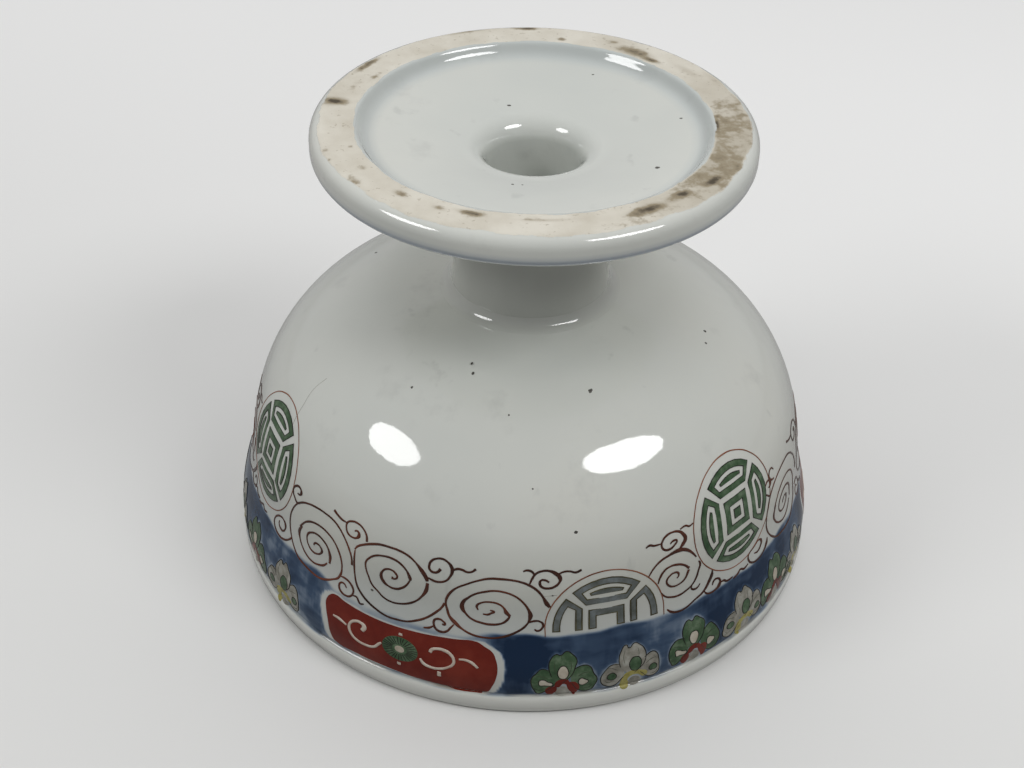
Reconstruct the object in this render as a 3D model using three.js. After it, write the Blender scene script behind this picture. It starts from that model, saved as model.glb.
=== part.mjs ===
// A porcelain bowl for rinsing sake cups, standing upside down on its rim as it is stored to dry.
// It is thrown in two pieces, a round bowl and a hollow pedestal with a spreading foot, and the
// pedestal is stuck to the bowl's underside with a ring of slip before the whole is glazed and fired.
// Millimetres, +Z up. The rim lies in the plane Z = 0 and the foot faces up, round the Z axis.
import * as THREE from "three";

// Bowl
const BODY_RADIUS = 72.2; // outside of the wall, where it is upright
const MOUTH_FLARE = 3.8; // how far the mouth opens past the wall
const FLARE_HEIGHT = 31; // the flare starts this far above the rim
const LIP_HEIGHT = 10.6; // the mouth is widest this far above the rim
const LIP_TURN_IN = 1.4; // and draws in this much again towards the rim
const BEAD = 0.4; // the lip is thickened outside by this much
const BEAD_HEIGHT = 6.2; // from the rim up to the bead's shoulder
const BEAD_SHOULDER = 0.5; // height of that small step
const BOWL_HEIGHT = 74.2; // rim to the seat under the pedestal
const SEAT_CUT = 2; // the crown of the wall's curve is turned down this much to make the seat
const SEAT_BLEND = 40; // radius where that cut begins, running in softly
const SHOULDER_START = 19.9; // above this the wall curves in to the underside
const SHOULDER_FULLNESS = 2.58; // exponent of the shoulder curve: 2 is an ellipse, more is squarer
const WALL = 4.6; // thickness of the side wall
const FLOOR = 5.2; // thickness of the floor under the pedestal
const LIP_FLAT = 2.4; // width of the flat that wear leaves on the rounded lip

// Pedestal
const PEDESTAL_HEIGHT = 45.3; // seat to foot face
const STEM_RADIUS = 19.7; // outside of the stem where it meets the bowl
const STEM_WAIST = 0.7; // how far the stem draws in half way up
const BORE_RADIUS = 12.7; // the hollow up the middle of the stem
const MOUTH_ROUND = 4.8; // radius of the soft edge where the bore opens in the foot
const FOOT_RADIUS = 52.5; // outside of the foot disc
const FOOT_EDGE = 6.8; // thickness of the foot disc at its edge
const EDGE_ROUND = 1.6; // rounding of the disc's two corners
const RING_WIDTH = 8.9; // unglazed ring that the bowl stands on in use
const RECESS_DEPTH = 3.1; // the foot inside that ring is cut back this far
const RECESS_SLOPE = 1.9; // run of the sloping wall between ring and recess
const RECESS_PULL = 0.6; // how steep that wall is half way down: less is steeper
const RECESS_DISH = 2.2; // the recess sinks this much more on its way to the bore
const UNDERCUT_ROUND = 9; // hollow curve from the stem out to the underside of the disc
const UNDERSIDE_RISE = 1.8; // the disc is this much thicker at the stem than at its edge

// Slip joint
const SLIP = 0.8; // thickness of the slip between bowl and stem
const SLIP_FILLET = 2.6; // slip squeezed out and smoothed round the stem
const SLIP_BEAD = 0.9; // slip squeezed into the bore

const SEAT_MARGIN = 0.8; // flat of the seat outside the slip

// Fineness of the facets
const TURN_STEPS = 64; // flats round each turned piece
const OUTER_STEPS = 21; // rings up the outside of the bowl
const INNER_STEPS = 17; // rings up the inside of the bowl
const UPRIGHT_SHARE = 0.35; // share of those rings that lie below the shoulder
const BEAD_STEPS = 2; // rings up the bead
const LIP_ARC_STEPS = 2; // steps in each arc of the lip and of the slip
const FOOT_ARC_STEPS = 3; // steps in each arc and curve of the pedestal

const glaze = () => new THREE.MeshStandardMaterial({ color: 0xdfe2dc, roughness: 0.12, metalness: 0 });
const slipGlaze = () => new THREE.MeshStandardMaterial({ color: 0xd3d9d8, roughness: 0.14, metalness: 0 });

// Turns a profile of (radius, height) round the Z axis.
function turned(name, profile, material) {
  const geometry = new THREE.LatheGeometry(profile, TURN_STEPS);
  geometry.rotateX(Math.PI / 2);
  const mesh = new THREE.Mesh(geometry, material);
  mesh.name = name;
  return mesh;
}

// The points of a path without those that repeat the one before.
function pathPoints(path, divisions) {
  const points = path.getPoints(divisions);
  return points.filter((p, i) => i === 0 || p.distanceTo(points[i - 1]) > 1e-4);
}

const smoothStep = (t) => t * t * (3 - 2 * t);

// Extra radius of the flared mouth at a height: it opens towards the rim and turns in at the lip.
function flareAt(z) {
  const opened = Math.min(1, Math.max(0, (FLARE_HEIGHT - z) / (FLARE_HEIGHT - LIP_HEIGHT)));
  const turnedIn = Math.max(0, 1 - z / LIP_HEIGHT);
  return MOUTH_FLARE * smoothStep(opened) - LIP_TURN_IN * turnedIn ** 2;
}

// A wall that is upright to shoulderZ and then curves in, reaching topZ at topRadius.
// It runs from startZ upwards and ends at topRadius.
function wallCurve(radius, shoulderZ, topRadius, topZ, startZ, steps) {
  const n = SHOULDER_FULLNESS;
  const reach = (1 - (topRadius / radius) ** n) ** (1 / n);
  const rise = (topZ - shoulderZ) / reach;
  const lastTurn = Math.asin(reach ** (n / 2));
  const upright = Math.max(2, Math.round(steps * UPRIGHT_SHARE));
  const curved = steps - upright;
  const points = [];
  for (let i = 0; i < upright; i++) {
    const z = startZ + ((shoulderZ - startZ) * i) / upright;
    points.push(new THREE.Vector2(radius + flareAt(z), z));
  }
  for (let i = 0; i <= curved; i++) {
    const turn = (lastTurn * i) / curved;
    const z = shoulderZ + rise * Math.sin(turn) ** (2 / n);
    points.push(new THREE.Vector2(radius * Math.cos(turn) ** (2 / n) + flareAt(z), z));
  }
  return points;
}

// The bowl: one profile from the inside of its floor, down the inner wall, round the lip,
// up the bead and the outer wall, and across the seat to the axis.
function makeBowl() {
  const seatRadius = STEM_RADIUS + SLIP_FILLET + SEAT_MARGIN;
  const lipRound = (WALL - LIP_FLAT) / 2;
  const beadTop = BEAD_HEIGHT + BEAD_SHOULDER;
  const crown = BOWL_HEIGHT + SEAT_CUT;
  const outer = wallCurve(BODY_RADIUS, SHOULDER_START, seatRadius, crown, beadTop, OUTER_STEPS);
  for (const p of outer) {
    const into = (SEAT_BLEND - p.x) / (SEAT_BLEND - seatRadius);
    p.y -= SEAT_CUT * smoothStep(Math.min(1, Math.max(0, into)));
  }
  const inner = wallCurve(BODY_RADIUS - WALL, SHOULDER_START, 0, BOWL_HEIGHT - FLOOR, lipRound, INNER_STEPS);
  const bead = [];
  for (let i = 0; i <= BEAD_STEPS; i++) {
    const z = lipRound + ((BEAD_HEIGHT - lipRound) * i) / BEAD_STEPS;
    bead.push(new THREE.Vector2(BODY_RADIUS + flareAt(z) + BEAD, z));
  }
  const mouth = bead[0].x;
  const lip = new THREE.Path();
  lip.absarc(mouth - BEAD - WALL + lipRound, lipRound, lipRound, Math.PI, 1.5 * Math.PI, false);
  lip.absarc(mouth - lipRound, lipRound, lipRound, 1.5 * Math.PI, 2 * Math.PI, false);
  const lipPoints = pathPoints(lip, LIP_ARC_STEPS).slice(1, -1);
  const floor = inner.reverse();
  floor[0].x = 0;
  const profile = [...floor, ...lipPoints, ...bead, ...outer, new THREE.Vector2(0, BOWL_HEIGHT)];
  return turned("bowl", profile, glaze());
}

// The pedestal: a hollow stem that opens into the foot disc, drawn as one closed profile.
function makePedestal() {
  const base = BOWL_HEIGHT + SLIP;
  const face = BOWL_HEIGHT + PEDESTAL_HEIGHT;
  const edgeLow = face - FOOT_EDGE;
  const rootZ = edgeLow - UNDERSIDE_RISE;
  const recessZ = face - RECESS_DEPTH;
  const straightTop = base + SLIP_FILLET;
  const undercutZ = rootZ - UNDERCUT_ROUND;
  const waistZ = (straightTop + undercutZ) / 2;
  const edgeR = FOOT_RADIUS - EDGE_ROUND;
  const ringInner = edgeR - RING_WIDTH;
  const outline = new THREE.Path();
  outline.moveTo(STEM_RADIUS, base);
  outline.lineTo(STEM_RADIUS, straightTop);
  outline.quadraticCurveTo(STEM_RADIUS - 2 * STEM_WAIST, waistZ, STEM_RADIUS, undercutZ);
  outline.absarc(STEM_RADIUS + UNDERCUT_ROUND, undercutZ, UNDERCUT_ROUND, Math.PI, Math.PI / 2, true);
  outline.lineTo(edgeR, edgeLow);
  outline.absarc(edgeR, edgeLow + EDGE_ROUND, EDGE_ROUND, 1.5 * Math.PI, 2 * Math.PI, false);
  outline.lineTo(FOOT_RADIUS, face - EDGE_ROUND);
  outline.absarc(edgeR, face - EDGE_ROUND, EDGE_ROUND, 0, Math.PI / 2, false);
  outline.lineTo(ringInner, face);
  const slopeR = ringInner - RECESS_SLOPE * RECESS_PULL;
  outline.bezierCurveTo(slopeR, face, slopeR, recessZ, ringInner - 2 * RECESS_SLOPE, recessZ);
  const mouthZ = recessZ - RECESS_DISH;
  outline.lineTo(BORE_RADIUS + MOUTH_ROUND, mouthZ);
  outline.absarc(BORE_RADIUS + MOUTH_ROUND, mouthZ - MOUTH_ROUND, MOUTH_ROUND, Math.PI / 2, Math.PI, false);
  outline.lineTo(BORE_RADIUS, base);
  outline.closePath();
  const profile = pathPoints(outline, FOOT_ARC_STEPS);
  profile[profile.length - 1].copy(profile[0]);
  return turned("pedestal_foot", profile, glaze());
}

// The slip: a thin ring between seat and stem, with a fillet outside and a bead inside.
function makeSlip() {
  const base = BOWL_HEIGHT;
  const top = BOWL_HEIGHT + SLIP;
  const outline = new THREE.Path();
  outline.moveTo(BORE_RADIUS - SLIP_BEAD, base);
  outline.lineTo(STEM_RADIUS + SLIP_FILLET, base);
  outline.absarc(STEM_RADIUS + SLIP_FILLET, top + SLIP_FILLET, SLIP_FILLET, 1.5 * Math.PI, Math.PI, true);
  outline.lineTo(STEM_RADIUS, top);
  outline.lineTo(BORE_RADIUS, top);
  outline.quadraticCurveTo(BORE_RADIUS - SLIP_BEAD, top, BORE_RADIUS - SLIP_BEAD, base);
  const profile = pathPoints(outline, LIP_ARC_STEPS);
  profile[profile.length - 1].copy(profile[0]);
  return turned("luting_slip", profile, slipGlaze());
}

const washingBowl = new THREE.Group();
washingBowl.add(makeBowl(), makeSlip(), makePedestal());

export default washingBowl;
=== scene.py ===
# %% [markdown]
# # A porcelain bowl for rinsing sake cups
# The bowl stands upside down on its rim, as it is stored to dry. It was thrown in two pieces,
# a round bowl and a hollow pedestal with a spreading foot, which are stuck together with slip.
# A white glaze covers all but the ring that it stands on in use. Above the rim runs a band of
# cobalt blue, and over the glaze lie enamels: red scrolls, roundels, flowers and a red panel.
#
# The CAD model comes first and says where everything is. This script dresses it.

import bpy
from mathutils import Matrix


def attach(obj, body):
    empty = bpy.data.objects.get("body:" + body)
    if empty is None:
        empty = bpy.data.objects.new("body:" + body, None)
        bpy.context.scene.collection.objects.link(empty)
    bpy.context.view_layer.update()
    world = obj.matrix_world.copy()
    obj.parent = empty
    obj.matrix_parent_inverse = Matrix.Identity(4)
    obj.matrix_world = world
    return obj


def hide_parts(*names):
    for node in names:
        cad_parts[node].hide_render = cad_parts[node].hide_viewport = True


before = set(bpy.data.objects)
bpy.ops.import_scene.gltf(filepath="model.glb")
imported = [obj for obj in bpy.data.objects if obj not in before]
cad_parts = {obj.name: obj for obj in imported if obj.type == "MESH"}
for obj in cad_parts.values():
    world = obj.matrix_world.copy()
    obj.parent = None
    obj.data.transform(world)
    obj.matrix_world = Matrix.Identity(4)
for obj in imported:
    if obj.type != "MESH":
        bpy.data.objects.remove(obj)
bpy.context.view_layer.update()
print("CAD nodes:", sorted(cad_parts))

# %% Tools from Python and Blender
import math
import random

import bpy
import numpy as np
from mathutils import Matrix, Vector

MM = 0.001
RIDES_ON = "root"
HAND_SEED = 7

# %% [markdown]
# ## Camera
# The camera is where the photographer stood: a little above the foot, looking down at about
# 37 degrees. A real lens is described by its focal length on a sensor, so both are given.

# %% The camera at the photograph's viewing angle
LENS_MM = 55.82
SENSOR_MM = 36.0
CAMERA_PLACE = (0.0, -0.3309, 0.2952)
CAMERA_PITCH = 0.6532
CAMERA_YAW = -0.0117
CAMERA_ROLL = 0.0228

camera_data = bpy.data.cameras.new("camera")
camera_data.lens = LENS_MM
camera_data.sensor_width = SENSOR_MM
camera_data.clip_start = 0.01
camera = bpy.data.objects.new("camera", camera_data)
bpy.context.scene.collection.objects.link(camera)
turned_to_side = Matrix.Rotation(-CAMERA_YAW, 4, "Z")
tipped_down = Matrix.Rotation(math.pi / 2 - CAMERA_PITCH, 4, "X")
rolled = Matrix.Rotation(CAMERA_ROLL, 4, "Z")
camera.matrix_world = Matrix.Translation(CAMERA_PLACE) @ turned_to_side @ tipped_down @ rolled
bpy.context.scene.camera = camera
print("camera looks down", round(math.degrees(CAMERA_PITCH), 1), "degrees")

# %% [markdown]
# ## Sizes
# These are the sizes of the CAD model, in millimetres. The turned pieces below follow the same
# formulas with finer steps, so that the glaze reflects without facets.

# %% Sizes of the bowl
BODY_RADIUS = 72.2
MOUTH_FLARE = 3.8
FLARE_HEIGHT = 31.0
LIP_HEIGHT = 10.6
LIP_TURN_IN = 1.4
BEAD = 0.4
BEAD_HEIGHT = 6.2
BEAD_SHOULDER = 0.5
BOWL_HEIGHT = 74.2
SEAT_CUT = 2.0
SEAT_BLEND = 40.0
CROWN = BOWL_HEIGHT + SEAT_CUT
SHOULDER_START = 19.9
SHOULDER_FULLNESS = 2.58
WALL = 4.6
FLOOR = 5.2
LIP_FLAT = 2.4

# %% Sizes of the pedestal and its slip joint
PEDESTAL_HEIGHT = 45.3
STEM_RADIUS = 19.7
STEM_WAIST = 0.7
BORE_RADIUS = 12.7
FOOT_RADIUS = 52.5
FOOT_EDGE = 6.8
EDGE_ROUND = 1.6
RING_WIDTH = 8.9
RECESS_DEPTH = 3.1
RECESS_SLOPE = 1.9
RECESS_PULL = 0.6
RECESS_DISH = 2.2
UNDERCUT_ROUND = 9.0
UNDERSIDE_RISE = 1.8
SLIP = 0.8
SLIP_FILLET = 2.6
SLIP_BEAD = 0.9
SEAT_MARGIN = 0.8
SEAT_RADIUS = STEM_RADIUS + SLIP_FILLET + SEAT_MARGIN
FOOT_FACE = BOWL_HEIGHT + PEDESTAL_HEIGHT
RING_OUTER = FOOT_RADIUS - EDGE_ROUND
RING_INNER = RING_OUTER - RING_WIDTH
print("height over all:", round(FOOT_FACE, 1), "mm")

# %% [markdown]
# ## Turned pieces
# A potter's wheel makes round things from one profile, and so does Blender's spin. A single
# point is extruded along the profile, and the line is then spun once round the Z axis.
# Where the profile meets the axis, and where the last step meets the first, the points lie
# on each other and are merged. Spin can leave the faces inside out, so they are turned outwards.

# %% A line of points, and its spin
def deselect_all():
    """Nothing stays selected, so that the next operator acts on one piece only."""
    bpy.ops.object.select_all(action="DESELECT")


def start_line(name, radius, height):
    """A new object with a single point at (radius, height), left in edit mode."""
    deselect_all()
    bpy.ops.mesh.primitive_plane_add(size=MM, location=(0, 0, 0))
    piece = bpy.context.object
    piece.name = name
    piece.data.name = name
    bpy.ops.object.mode_set(mode="EDIT")
    bpy.ops.mesh.select_all(action="SELECT")
    bpy.ops.mesh.merge(type="CENTER")
    bpy.ops.transform.translate(value=(radius * MM, 0, height * MM))
    return piece


def turn_piece(name, profile, steps):
    """Spins a closed profile of (radius, height) in millimetres round the Z axis."""
    piece = start_line(name, *profile[0])
    for before, after in zip(profile, profile[1:]):
        step = ((after[0] - before[0]) * MM, 0, (after[1] - before[1]) * MM)
        bpy.ops.mesh.extrude_region_move(TRANSFORM_OT_translate={"value": step})
    bpy.ops.mesh.select_all(action="SELECT")
    bpy.ops.mesh.spin(steps=steps, angle=2 * math.pi, center=(0, 0, 0), axis=(0, 0, 1))
    bpy.ops.mesh.select_all(action="SELECT")
    bpy.ops.mesh.remove_doubles(threshold=0.002 * MM)
    bpy.ops.mesh.normals_make_consistent(inside=False)
    bpy.ops.object.mode_set(mode="OBJECT")
    bpy.ops.object.shade_smooth()
    print(name, "has", len(piece.data.polygons), "faces from", len(profile), "profile points")
    return piece


# %% Arcs and curves for the profiles
def arc_points(centre, radius, start_degrees, end_degrees, steps):
    """Points on an arc round a centre, both ends among them."""
    points = []
    for i in range(steps + 1):
        turn = math.radians(start_degrees + (end_degrees - start_degrees) * i / steps)
        points.append((centre[0] + radius * math.cos(turn), centre[1] + radius * math.sin(turn)))
    return points


def curve_points(controls, steps):
    """Points on a Bezier curve of three or four control points."""
    points = []
    for i in range(steps + 1):
        layer = list(controls)
        share = i / steps
        while len(layer) > 1:
            layer = [tuple(np.add(np.multiply(a, 1 - share), np.multiply(b, share)))
                     for a, b in zip(layer, layer[1:])]
        points.append(layer[0])
    return points


def line_points(start, end, longest):
    """Points on a straight line, none further apart than the longest step."""
    steps = max(1, math.ceil(math.dist(start, end) / longest))
    return [tuple(np.add(start, np.subtract(end, start) * i / steps)) for i in range(steps + 1)]


def without_repeats(points, least=0.01):
    """The points without those that lie on the one before."""
    kept = [points[0]]
    for point in points[1:]:
        if math.dist(point, kept[-1]) > least:
            kept.append(point)
    return kept


# %% [markdown]
# ## Bowl
# The wall stands nearly upright, flares a little towards the mouth, and draws in again at the lip.
# Its shoulder is fuller than a quarter ellipse: a superellipse with an exponent of 2.58. The lip
# is thickened by a soft roll with a fine groove over it, and the crown is turned down flat to make
# a seat for the pedestal.
# The painted band needs close rows of points, because the blue is stored on them further down.

# %% The bowl's wall as a formula
def eased(share):
    """Rises smoothly from 0 to 1 with a share, and stops at both ends."""
    share = min(1.0, max(0.0, share))
    return share * share * (3 - 2 * share)


def flare_at(z):
    """Extra radius of the flared mouth at a height."""
    opened = eased((FLARE_HEIGHT - z) / (FLARE_HEIGHT - LIP_HEIGHT))
    turned_in = max(0.0, 1 - z / LIP_HEIGHT)
    return MOUTH_FLARE * opened - LIP_TURN_IN * turned_in ** 2


def wall_reach(radius, top_radius):
    """Share of a full quarter turn's rise at which the wall has drawn in to top_radius."""
    return (1 - (top_radius / radius) ** SHOULDER_FULLNESS) ** (1 / SHOULDER_FULLNESS)


def wall_radius(z, radius, top_radius, top_z):
    """Radius of a wall of this body radius at a height, flare included."""
    rise = (top_z - SHOULDER_START) / wall_reach(radius, top_radius)
    share = min(1.0, max(0.0, (z - SHOULDER_START) / rise))
    return radius * (1 - share ** SHOULDER_FULLNESS) ** (1 / SHOULDER_FULLNESS) + flare_at(z)


def shoulder_points(radius, top_radius, top_z, start_z, steps):
    """Points up the curve of a wall from start_z to the height where it ends."""
    power = 2 / SHOULDER_FULLNESS
    reach = wall_reach(radius, top_radius)
    rise = (top_z - SHOULDER_START) / reach
    first = math.asin((max(0.0, start_z - SHOULDER_START) / rise) ** (1 / power))
    last = math.asin(min(1.0, reach ** (1 / power)))
    points = []
    for i in range(steps + 1):
        turn = first + (last - first) * i / steps
        z = SHOULDER_START + rise * math.sin(turn) ** power
        points.append((radius * max(0.0, math.cos(turn)) ** power + flare_at(z), z))
    return points


# %% The bowl's profile, from inside its floor round the lip to the seat
BAND_TOP_ROW = 27.0
BAND_ROW_STEP = 0.42
BOWL_STEPS = 816
BEAD_JOIN = BEAD_HEIGHT + BEAD_SHOULDER
ROLL_SHARE = 1.9
ROLL_POWER = 0.5
GROOVE = 0.3
GROOVE_WIDTH = 0.55
ROLL_STEPS = 14
INSIDE_ROWS = (16.0, 12.0, 8.0, 4.0)
ROWS_OVER_BAND = (1.2, 2.4, 3.8)
CROWN_OVER_BAND = 5.6


def bead_at(z):
    """How far the thickened lip stands proud: a roll, drawn in again just above it."""
    middle = BEAD_JOIN / 2
    share = (z - middle) / middle
    if abs(share) < 1:
        return BEAD * ROLL_SHARE * (1 - share * share) ** ROLL_POWER
    return -GROOVE * math.exp(-((z - BEAD_JOIN) / GROOVE_WIDTH) ** 2) if z > middle else 0.0


def outer_radius(z):
    """Outside radius of the bowl at a height, with the thicker lip."""
    return wall_radius(z, BODY_RADIUS, SEAT_RADIUS, CROWN) + bead_at(z)


def seat_cut(radius):
    """How far the crown of the wall's curve is turned down at a radius, to make the seat."""
    return SEAT_CUT * eased((SEAT_BLEND - radius) / (SEAT_BLEND - SEAT_RADIUS))


def bowl_profile():
    """The bowl's closed profile as (radius, height) in millimetres."""
    lip_round = (WALL - LIP_FLAT) / 2
    mouth = BODY_RADIUS + flare_at(lip_round)
    lip_out = outer_radius(lip_round)
    inner_radius = BODY_RADIUS - WALL
    inner_top = BOWL_HEIGHT - FLOOR
    inside = shoulder_points(inner_radius, 0.0, inner_top, SHOULDER_START, 11)[::-1]
    inside += [(wall_radius(z, inner_radius, 0.0, inner_top), z) for z in INSIDE_ROWS]
    lip = arc_points((mouth - WALL + lip_round, lip_round), lip_round, 180, 270, 3)
    lip += arc_points((lip_out - lip_round, lip_round), lip_round, 270, 360, 4)
    rolled = [0.5 - 0.5 * math.cos(math.pi * i / ROLL_STEPS) for i in range(ROLL_STEPS + 1)]
    rows = [BEAD_JOIN * share for share in rolled if BEAD_JOIN * share > lip_round + 0.3]
    band_rows = round((BAND_TOP_ROW - BEAD_JOIN) / BAND_ROW_STEP)
    rows += [BEAD_JOIN + i * BAND_ROW_STEP for i in range(1, band_rows + 1)]
    band_top = rows[-1]
    rows += [band_top + step for step in ROWS_OVER_BAND]
    outside = [(outer_radius(z), z) for z in rows]
    crown = shoulder_points(BODY_RADIUS, SEAT_RADIUS, CROWN, band_top + CROWN_OVER_BAND, 30)
    outside += [(radius, z - seat_cut(radius)) for radius, z in crown]
    return without_repeats(inside + lip + outside + [(0.0, BOWL_HEIGHT)])


# %% Turn the bowl
bowl = turn_piece("porcelain_bowl", bowl_profile(), BOWL_STEPS)

# %% [markdown]
# ## Pedestal
# The foot is a shallow dish. Its outer ring is left bare, the dish inside is glazed, and a soft
# funnel in the middle leads into the hollow stem. Under the disc a hollow curve runs to the stem.
# The edges are rounder and the funnel is softer than in the plain CAD solid.

# %% The pedestal's profile
PEDESTAL_STEPS = 576
TOP_ROUND = 3.0
LOW_ROUND = 2.4
SIDE_DEEPER = 0.6
MOUTH_REACH = 5.6
MOUTH_RADIUS = 11.4
MOUTH_DROP = 5.6
FUNNEL_DEEPER = 0.7
FUNNEL_STEPS = 12
FACE_OUTER = FOOT_RADIUS - TOP_ROUND
RECESS_Z = FOOT_FACE - RECESS_DEPTH
RECESS_EDGE = RING_INNER - 2 * RECESS_SLOPE
FUNNEL_RADIUS = MOUTH_RADIUS + MOUTH_REACH


def recess_drop(share):
    """How far the glazed dish has sunk on its way in: slowly at first, then into the funnel."""
    return RECESS_DISH * share + FUNNEL_DEEPER * share ** 3


def pedestal_profile():
    """The pedestal's closed profile as (radius, height) in millimetres."""
    base = BOWL_HEIGHT + SLIP
    edge_low = FOOT_FACE - FOOT_EDGE - SIDE_DEEPER
    undercut_z = FOOT_FACE - FOOT_EDGE - UNDERSIDE_RISE - UNDERCUT_ROUND
    low_centre = (FOOT_RADIUS - LOW_ROUND, edge_low + LOW_ROUND)
    top_centre = (FACE_OUTER, FOOT_FACE - TOP_ROUND)
    stem_start = base + SLIP_FILLET
    waist = (STEM_RADIUS - 2 * STEM_WAIST, (stem_start + undercut_z) / 2)
    slope_radius = RING_INNER - RECESS_SLOPE * RECESS_PULL
    funnel_z = RECESS_Z - recess_drop(1.0)
    points = [(STEM_RADIUS, base)]
    points += curve_points([(STEM_RADIUS, stem_start), waist, (STEM_RADIUS, undercut_z)], 8)
    points += arc_points((STEM_RADIUS + UNDERCUT_ROUND, undercut_z), UNDERCUT_ROUND, 180, 90, 10)
    points += line_points(points[-1], (low_centre[0], edge_low), 4.0)
    points += arc_points(low_centre, LOW_ROUND, 270, 360, 7)
    points += line_points(points[-1], (FOOT_RADIUS, top_centre[1]), 1.3)
    points += arc_points(top_centre, TOP_ROUND, 0, 90, 7)
    points += line_points((FACE_OUTER, FOOT_FACE), (RING_INNER, FOOT_FACE), 0.6)
    slope = [(RING_INNER, FOOT_FACE), (slope_radius, FOOT_FACE), (slope_radius, RECESS_Z),
             (RECESS_EDGE, RECESS_Z)]
    points += curve_points(slope, 9)
    for i in range(1, FUNNEL_STEPS + 1):
        share = i / FUNNEL_STEPS
        radius = RECESS_EDGE + (FUNNEL_RADIUS - RECESS_EDGE) * share
        points.append((radius, RECESS_Z - recess_drop(share)))
    for x, z in arc_points((0.0, funnel_z - MOUTH_DROP), MOUTH_DROP, 90, 180, 12):
        points.append((FUNNEL_RADIUS + x * MOUTH_REACH / MOUTH_DROP, z))
    points += line_points(points[-1], (BORE_RADIUS, base), 4.0)
    points.append((STEM_RADIUS, base))
    return without_repeats(points)


# %% Turn the pedestal
pedestal = turn_piece("porcelain_pedestal", pedestal_profile(), PEDESTAL_STEPS)

# %% [markdown]
# ## Slip joint
# Before firing, the two pieces were stuck together with slip, which is clay thinned to a cream.
# What squeezed out was smoothed round the stem into a small fillet. Its upper end dips into the
# stem and its lower end into the bowl, so that no step is left at either.

# %% Turn the slip
SLIP_STEPS = 288
SMOOTHED_OUT = 1.8
SMOOTHED_DROP = 0.22
SMOOTHED_IN = 0.15
SLIP_ROOT = 0.5


def slip_profile():
    """The slip's closed profile as (radius, height) in millimetres."""
    top = BOWL_HEIGHT + SLIP
    inner = BORE_RADIUS - SLIP_BEAD
    foot = STEM_RADIUS + SLIP_FILLET + SMOOTHED_OUT
    fillet = [(foot, BOWL_HEIGHT - SMOOTHED_DROP), (STEM_RADIUS + 1.5, BOWL_HEIGHT),
              (STEM_RADIUS + 0.5, top), (STEM_RADIUS - SMOOTHED_IN, top + SLIP_FILLET)]
    low = BOWL_HEIGHT - SLIP_ROOT
    points = [(inner, low), (foot, low)] + curve_points(fillet, 14)
    root = STEM_RADIUS - SLIP_ROOT
    points += [(root, top + SLIP_FILLET), (root, top), (BORE_RADIUS, top)]
    points += curve_points([(BORE_RADIUS, top), (inner, top), (inner, low)], 4)
    return without_repeats(points)


slip = turn_piece("slip_joint", slip_profile(), SLIP_STEPS)
# %% [markdown]
# ## Paper round the wall
# All painting is drawn flat first, on a strip of paper that is wrapped round the wall. On the
# paper, "along" counts millimetres round the bowl from the camera's side, to the right, and "up"
# counts millimetres along the wall from the rim. One turn of the paper is 459 mm long.

# %% From the paper to the wall
PAPER_RADIUS = 73.0
TURN_LENGTH = 2 * math.pi * PAPER_RADIUS
NEARBY = 0.2

wall_heights = np.linspace(0.0, CROWN - NEARBY, 1500)
wall_radii = np.array([outer_radius(z) for z in wall_heights])
plain_radii = np.array([wall_radius(z, BODY_RADIUS, SEAT_RADIUS, CROWN) for z in wall_heights])
wall_lengths = np.concatenate([[0.0], np.cumsum(np.hypot(np.diff(plain_radii), np.diff(wall_heights)))])
print("the wall is", round(float(wall_lengths[-1]), 1), "mm from rim to seat")


def wrap(piece):
    """Bends a flat piece of (along, up, height over the glaze) in millimetres round the wall."""
    mesh = piece.data
    flat = np.empty(len(mesh.vertices) * 3)
    mesh.vertices.foreach_get("co", flat)
    along, up, lift = flat.reshape(-1, 3).T
    z = np.interp(up, wall_lengths, wall_heights)
    radius = np.interp(z, wall_heights, wall_radii)
    above = np.interp(z + NEARBY, wall_heights, wall_radii)
    below = np.interp(z - NEARBY, wall_heights, wall_radii)
    slope = (above - below) / (2 * NEARBY)
    normal_length = np.sqrt(1 + slope ** 2)
    radius = radius + lift / normal_length
    z = z - lift * slope / normal_length
    turn = along / PAPER_RADIUS
    placed = np.stack([radius * np.sin(turn), -radius * np.cos(turn), z], axis=1) * MM
    mesh.vertices.foreach_set("co", placed.ravel())
    mesh.update()


# %% [markdown]
# ## Tools for painting
# Enamel is glassy paint that is laid on the glaze and stands a little proud of it. A brush line
# is a curve with a bevel, whose points have their own radius as a brush has its own pressure.
# A filled area is a flat closed curve with a thickness. Both are made into meshes, and filled
# areas are cut into narrow strips, so that they can bend round the wall.

# %% Curves on the paper
CURVE_STEPS = 5
SAME_PLACE = 0.004
hand = random.Random(HAND_SEED)


def pick(piece):
    """Selects one piece alone and makes it the active one."""
    deselect_all()
    piece.select_set(True)
    bpy.context.view_layer.objects.active = piece


def add_spline(curve, points, closed=False, pointed=False, widths=None):
    """Adds one smooth or pointed spline through the points to a curve."""
    spline = curve.splines.new("BEZIER")
    spline.bezier_points.add(len(points) - 1)
    spline.use_cyclic_u = closed
    handle = "VECTOR" if pointed else "AUTO"
    for i, (knot, place) in enumerate(zip(spline.bezier_points, points)):
        knot.co = (place[0], place[1], 0.0)
        knot.handle_left_type = handle
        knot.handle_right_type = handle
        if widths:
            knot.radius = widths[i]


def new_curve(name):
    """An empty flat curve object, made from Blender's own Bezier curve."""
    deselect_all()
    bpy.ops.curve.primitive_bezier_curve_add(location=(0, 0, 0))
    piece = bpy.context.object
    piece.name = name
    piece.data.name = name
    piece.data.splines.clear()
    piece.data.dimensions = "2D"
    piece.data.resolution_u = CURVE_STEPS
    return piece


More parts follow.
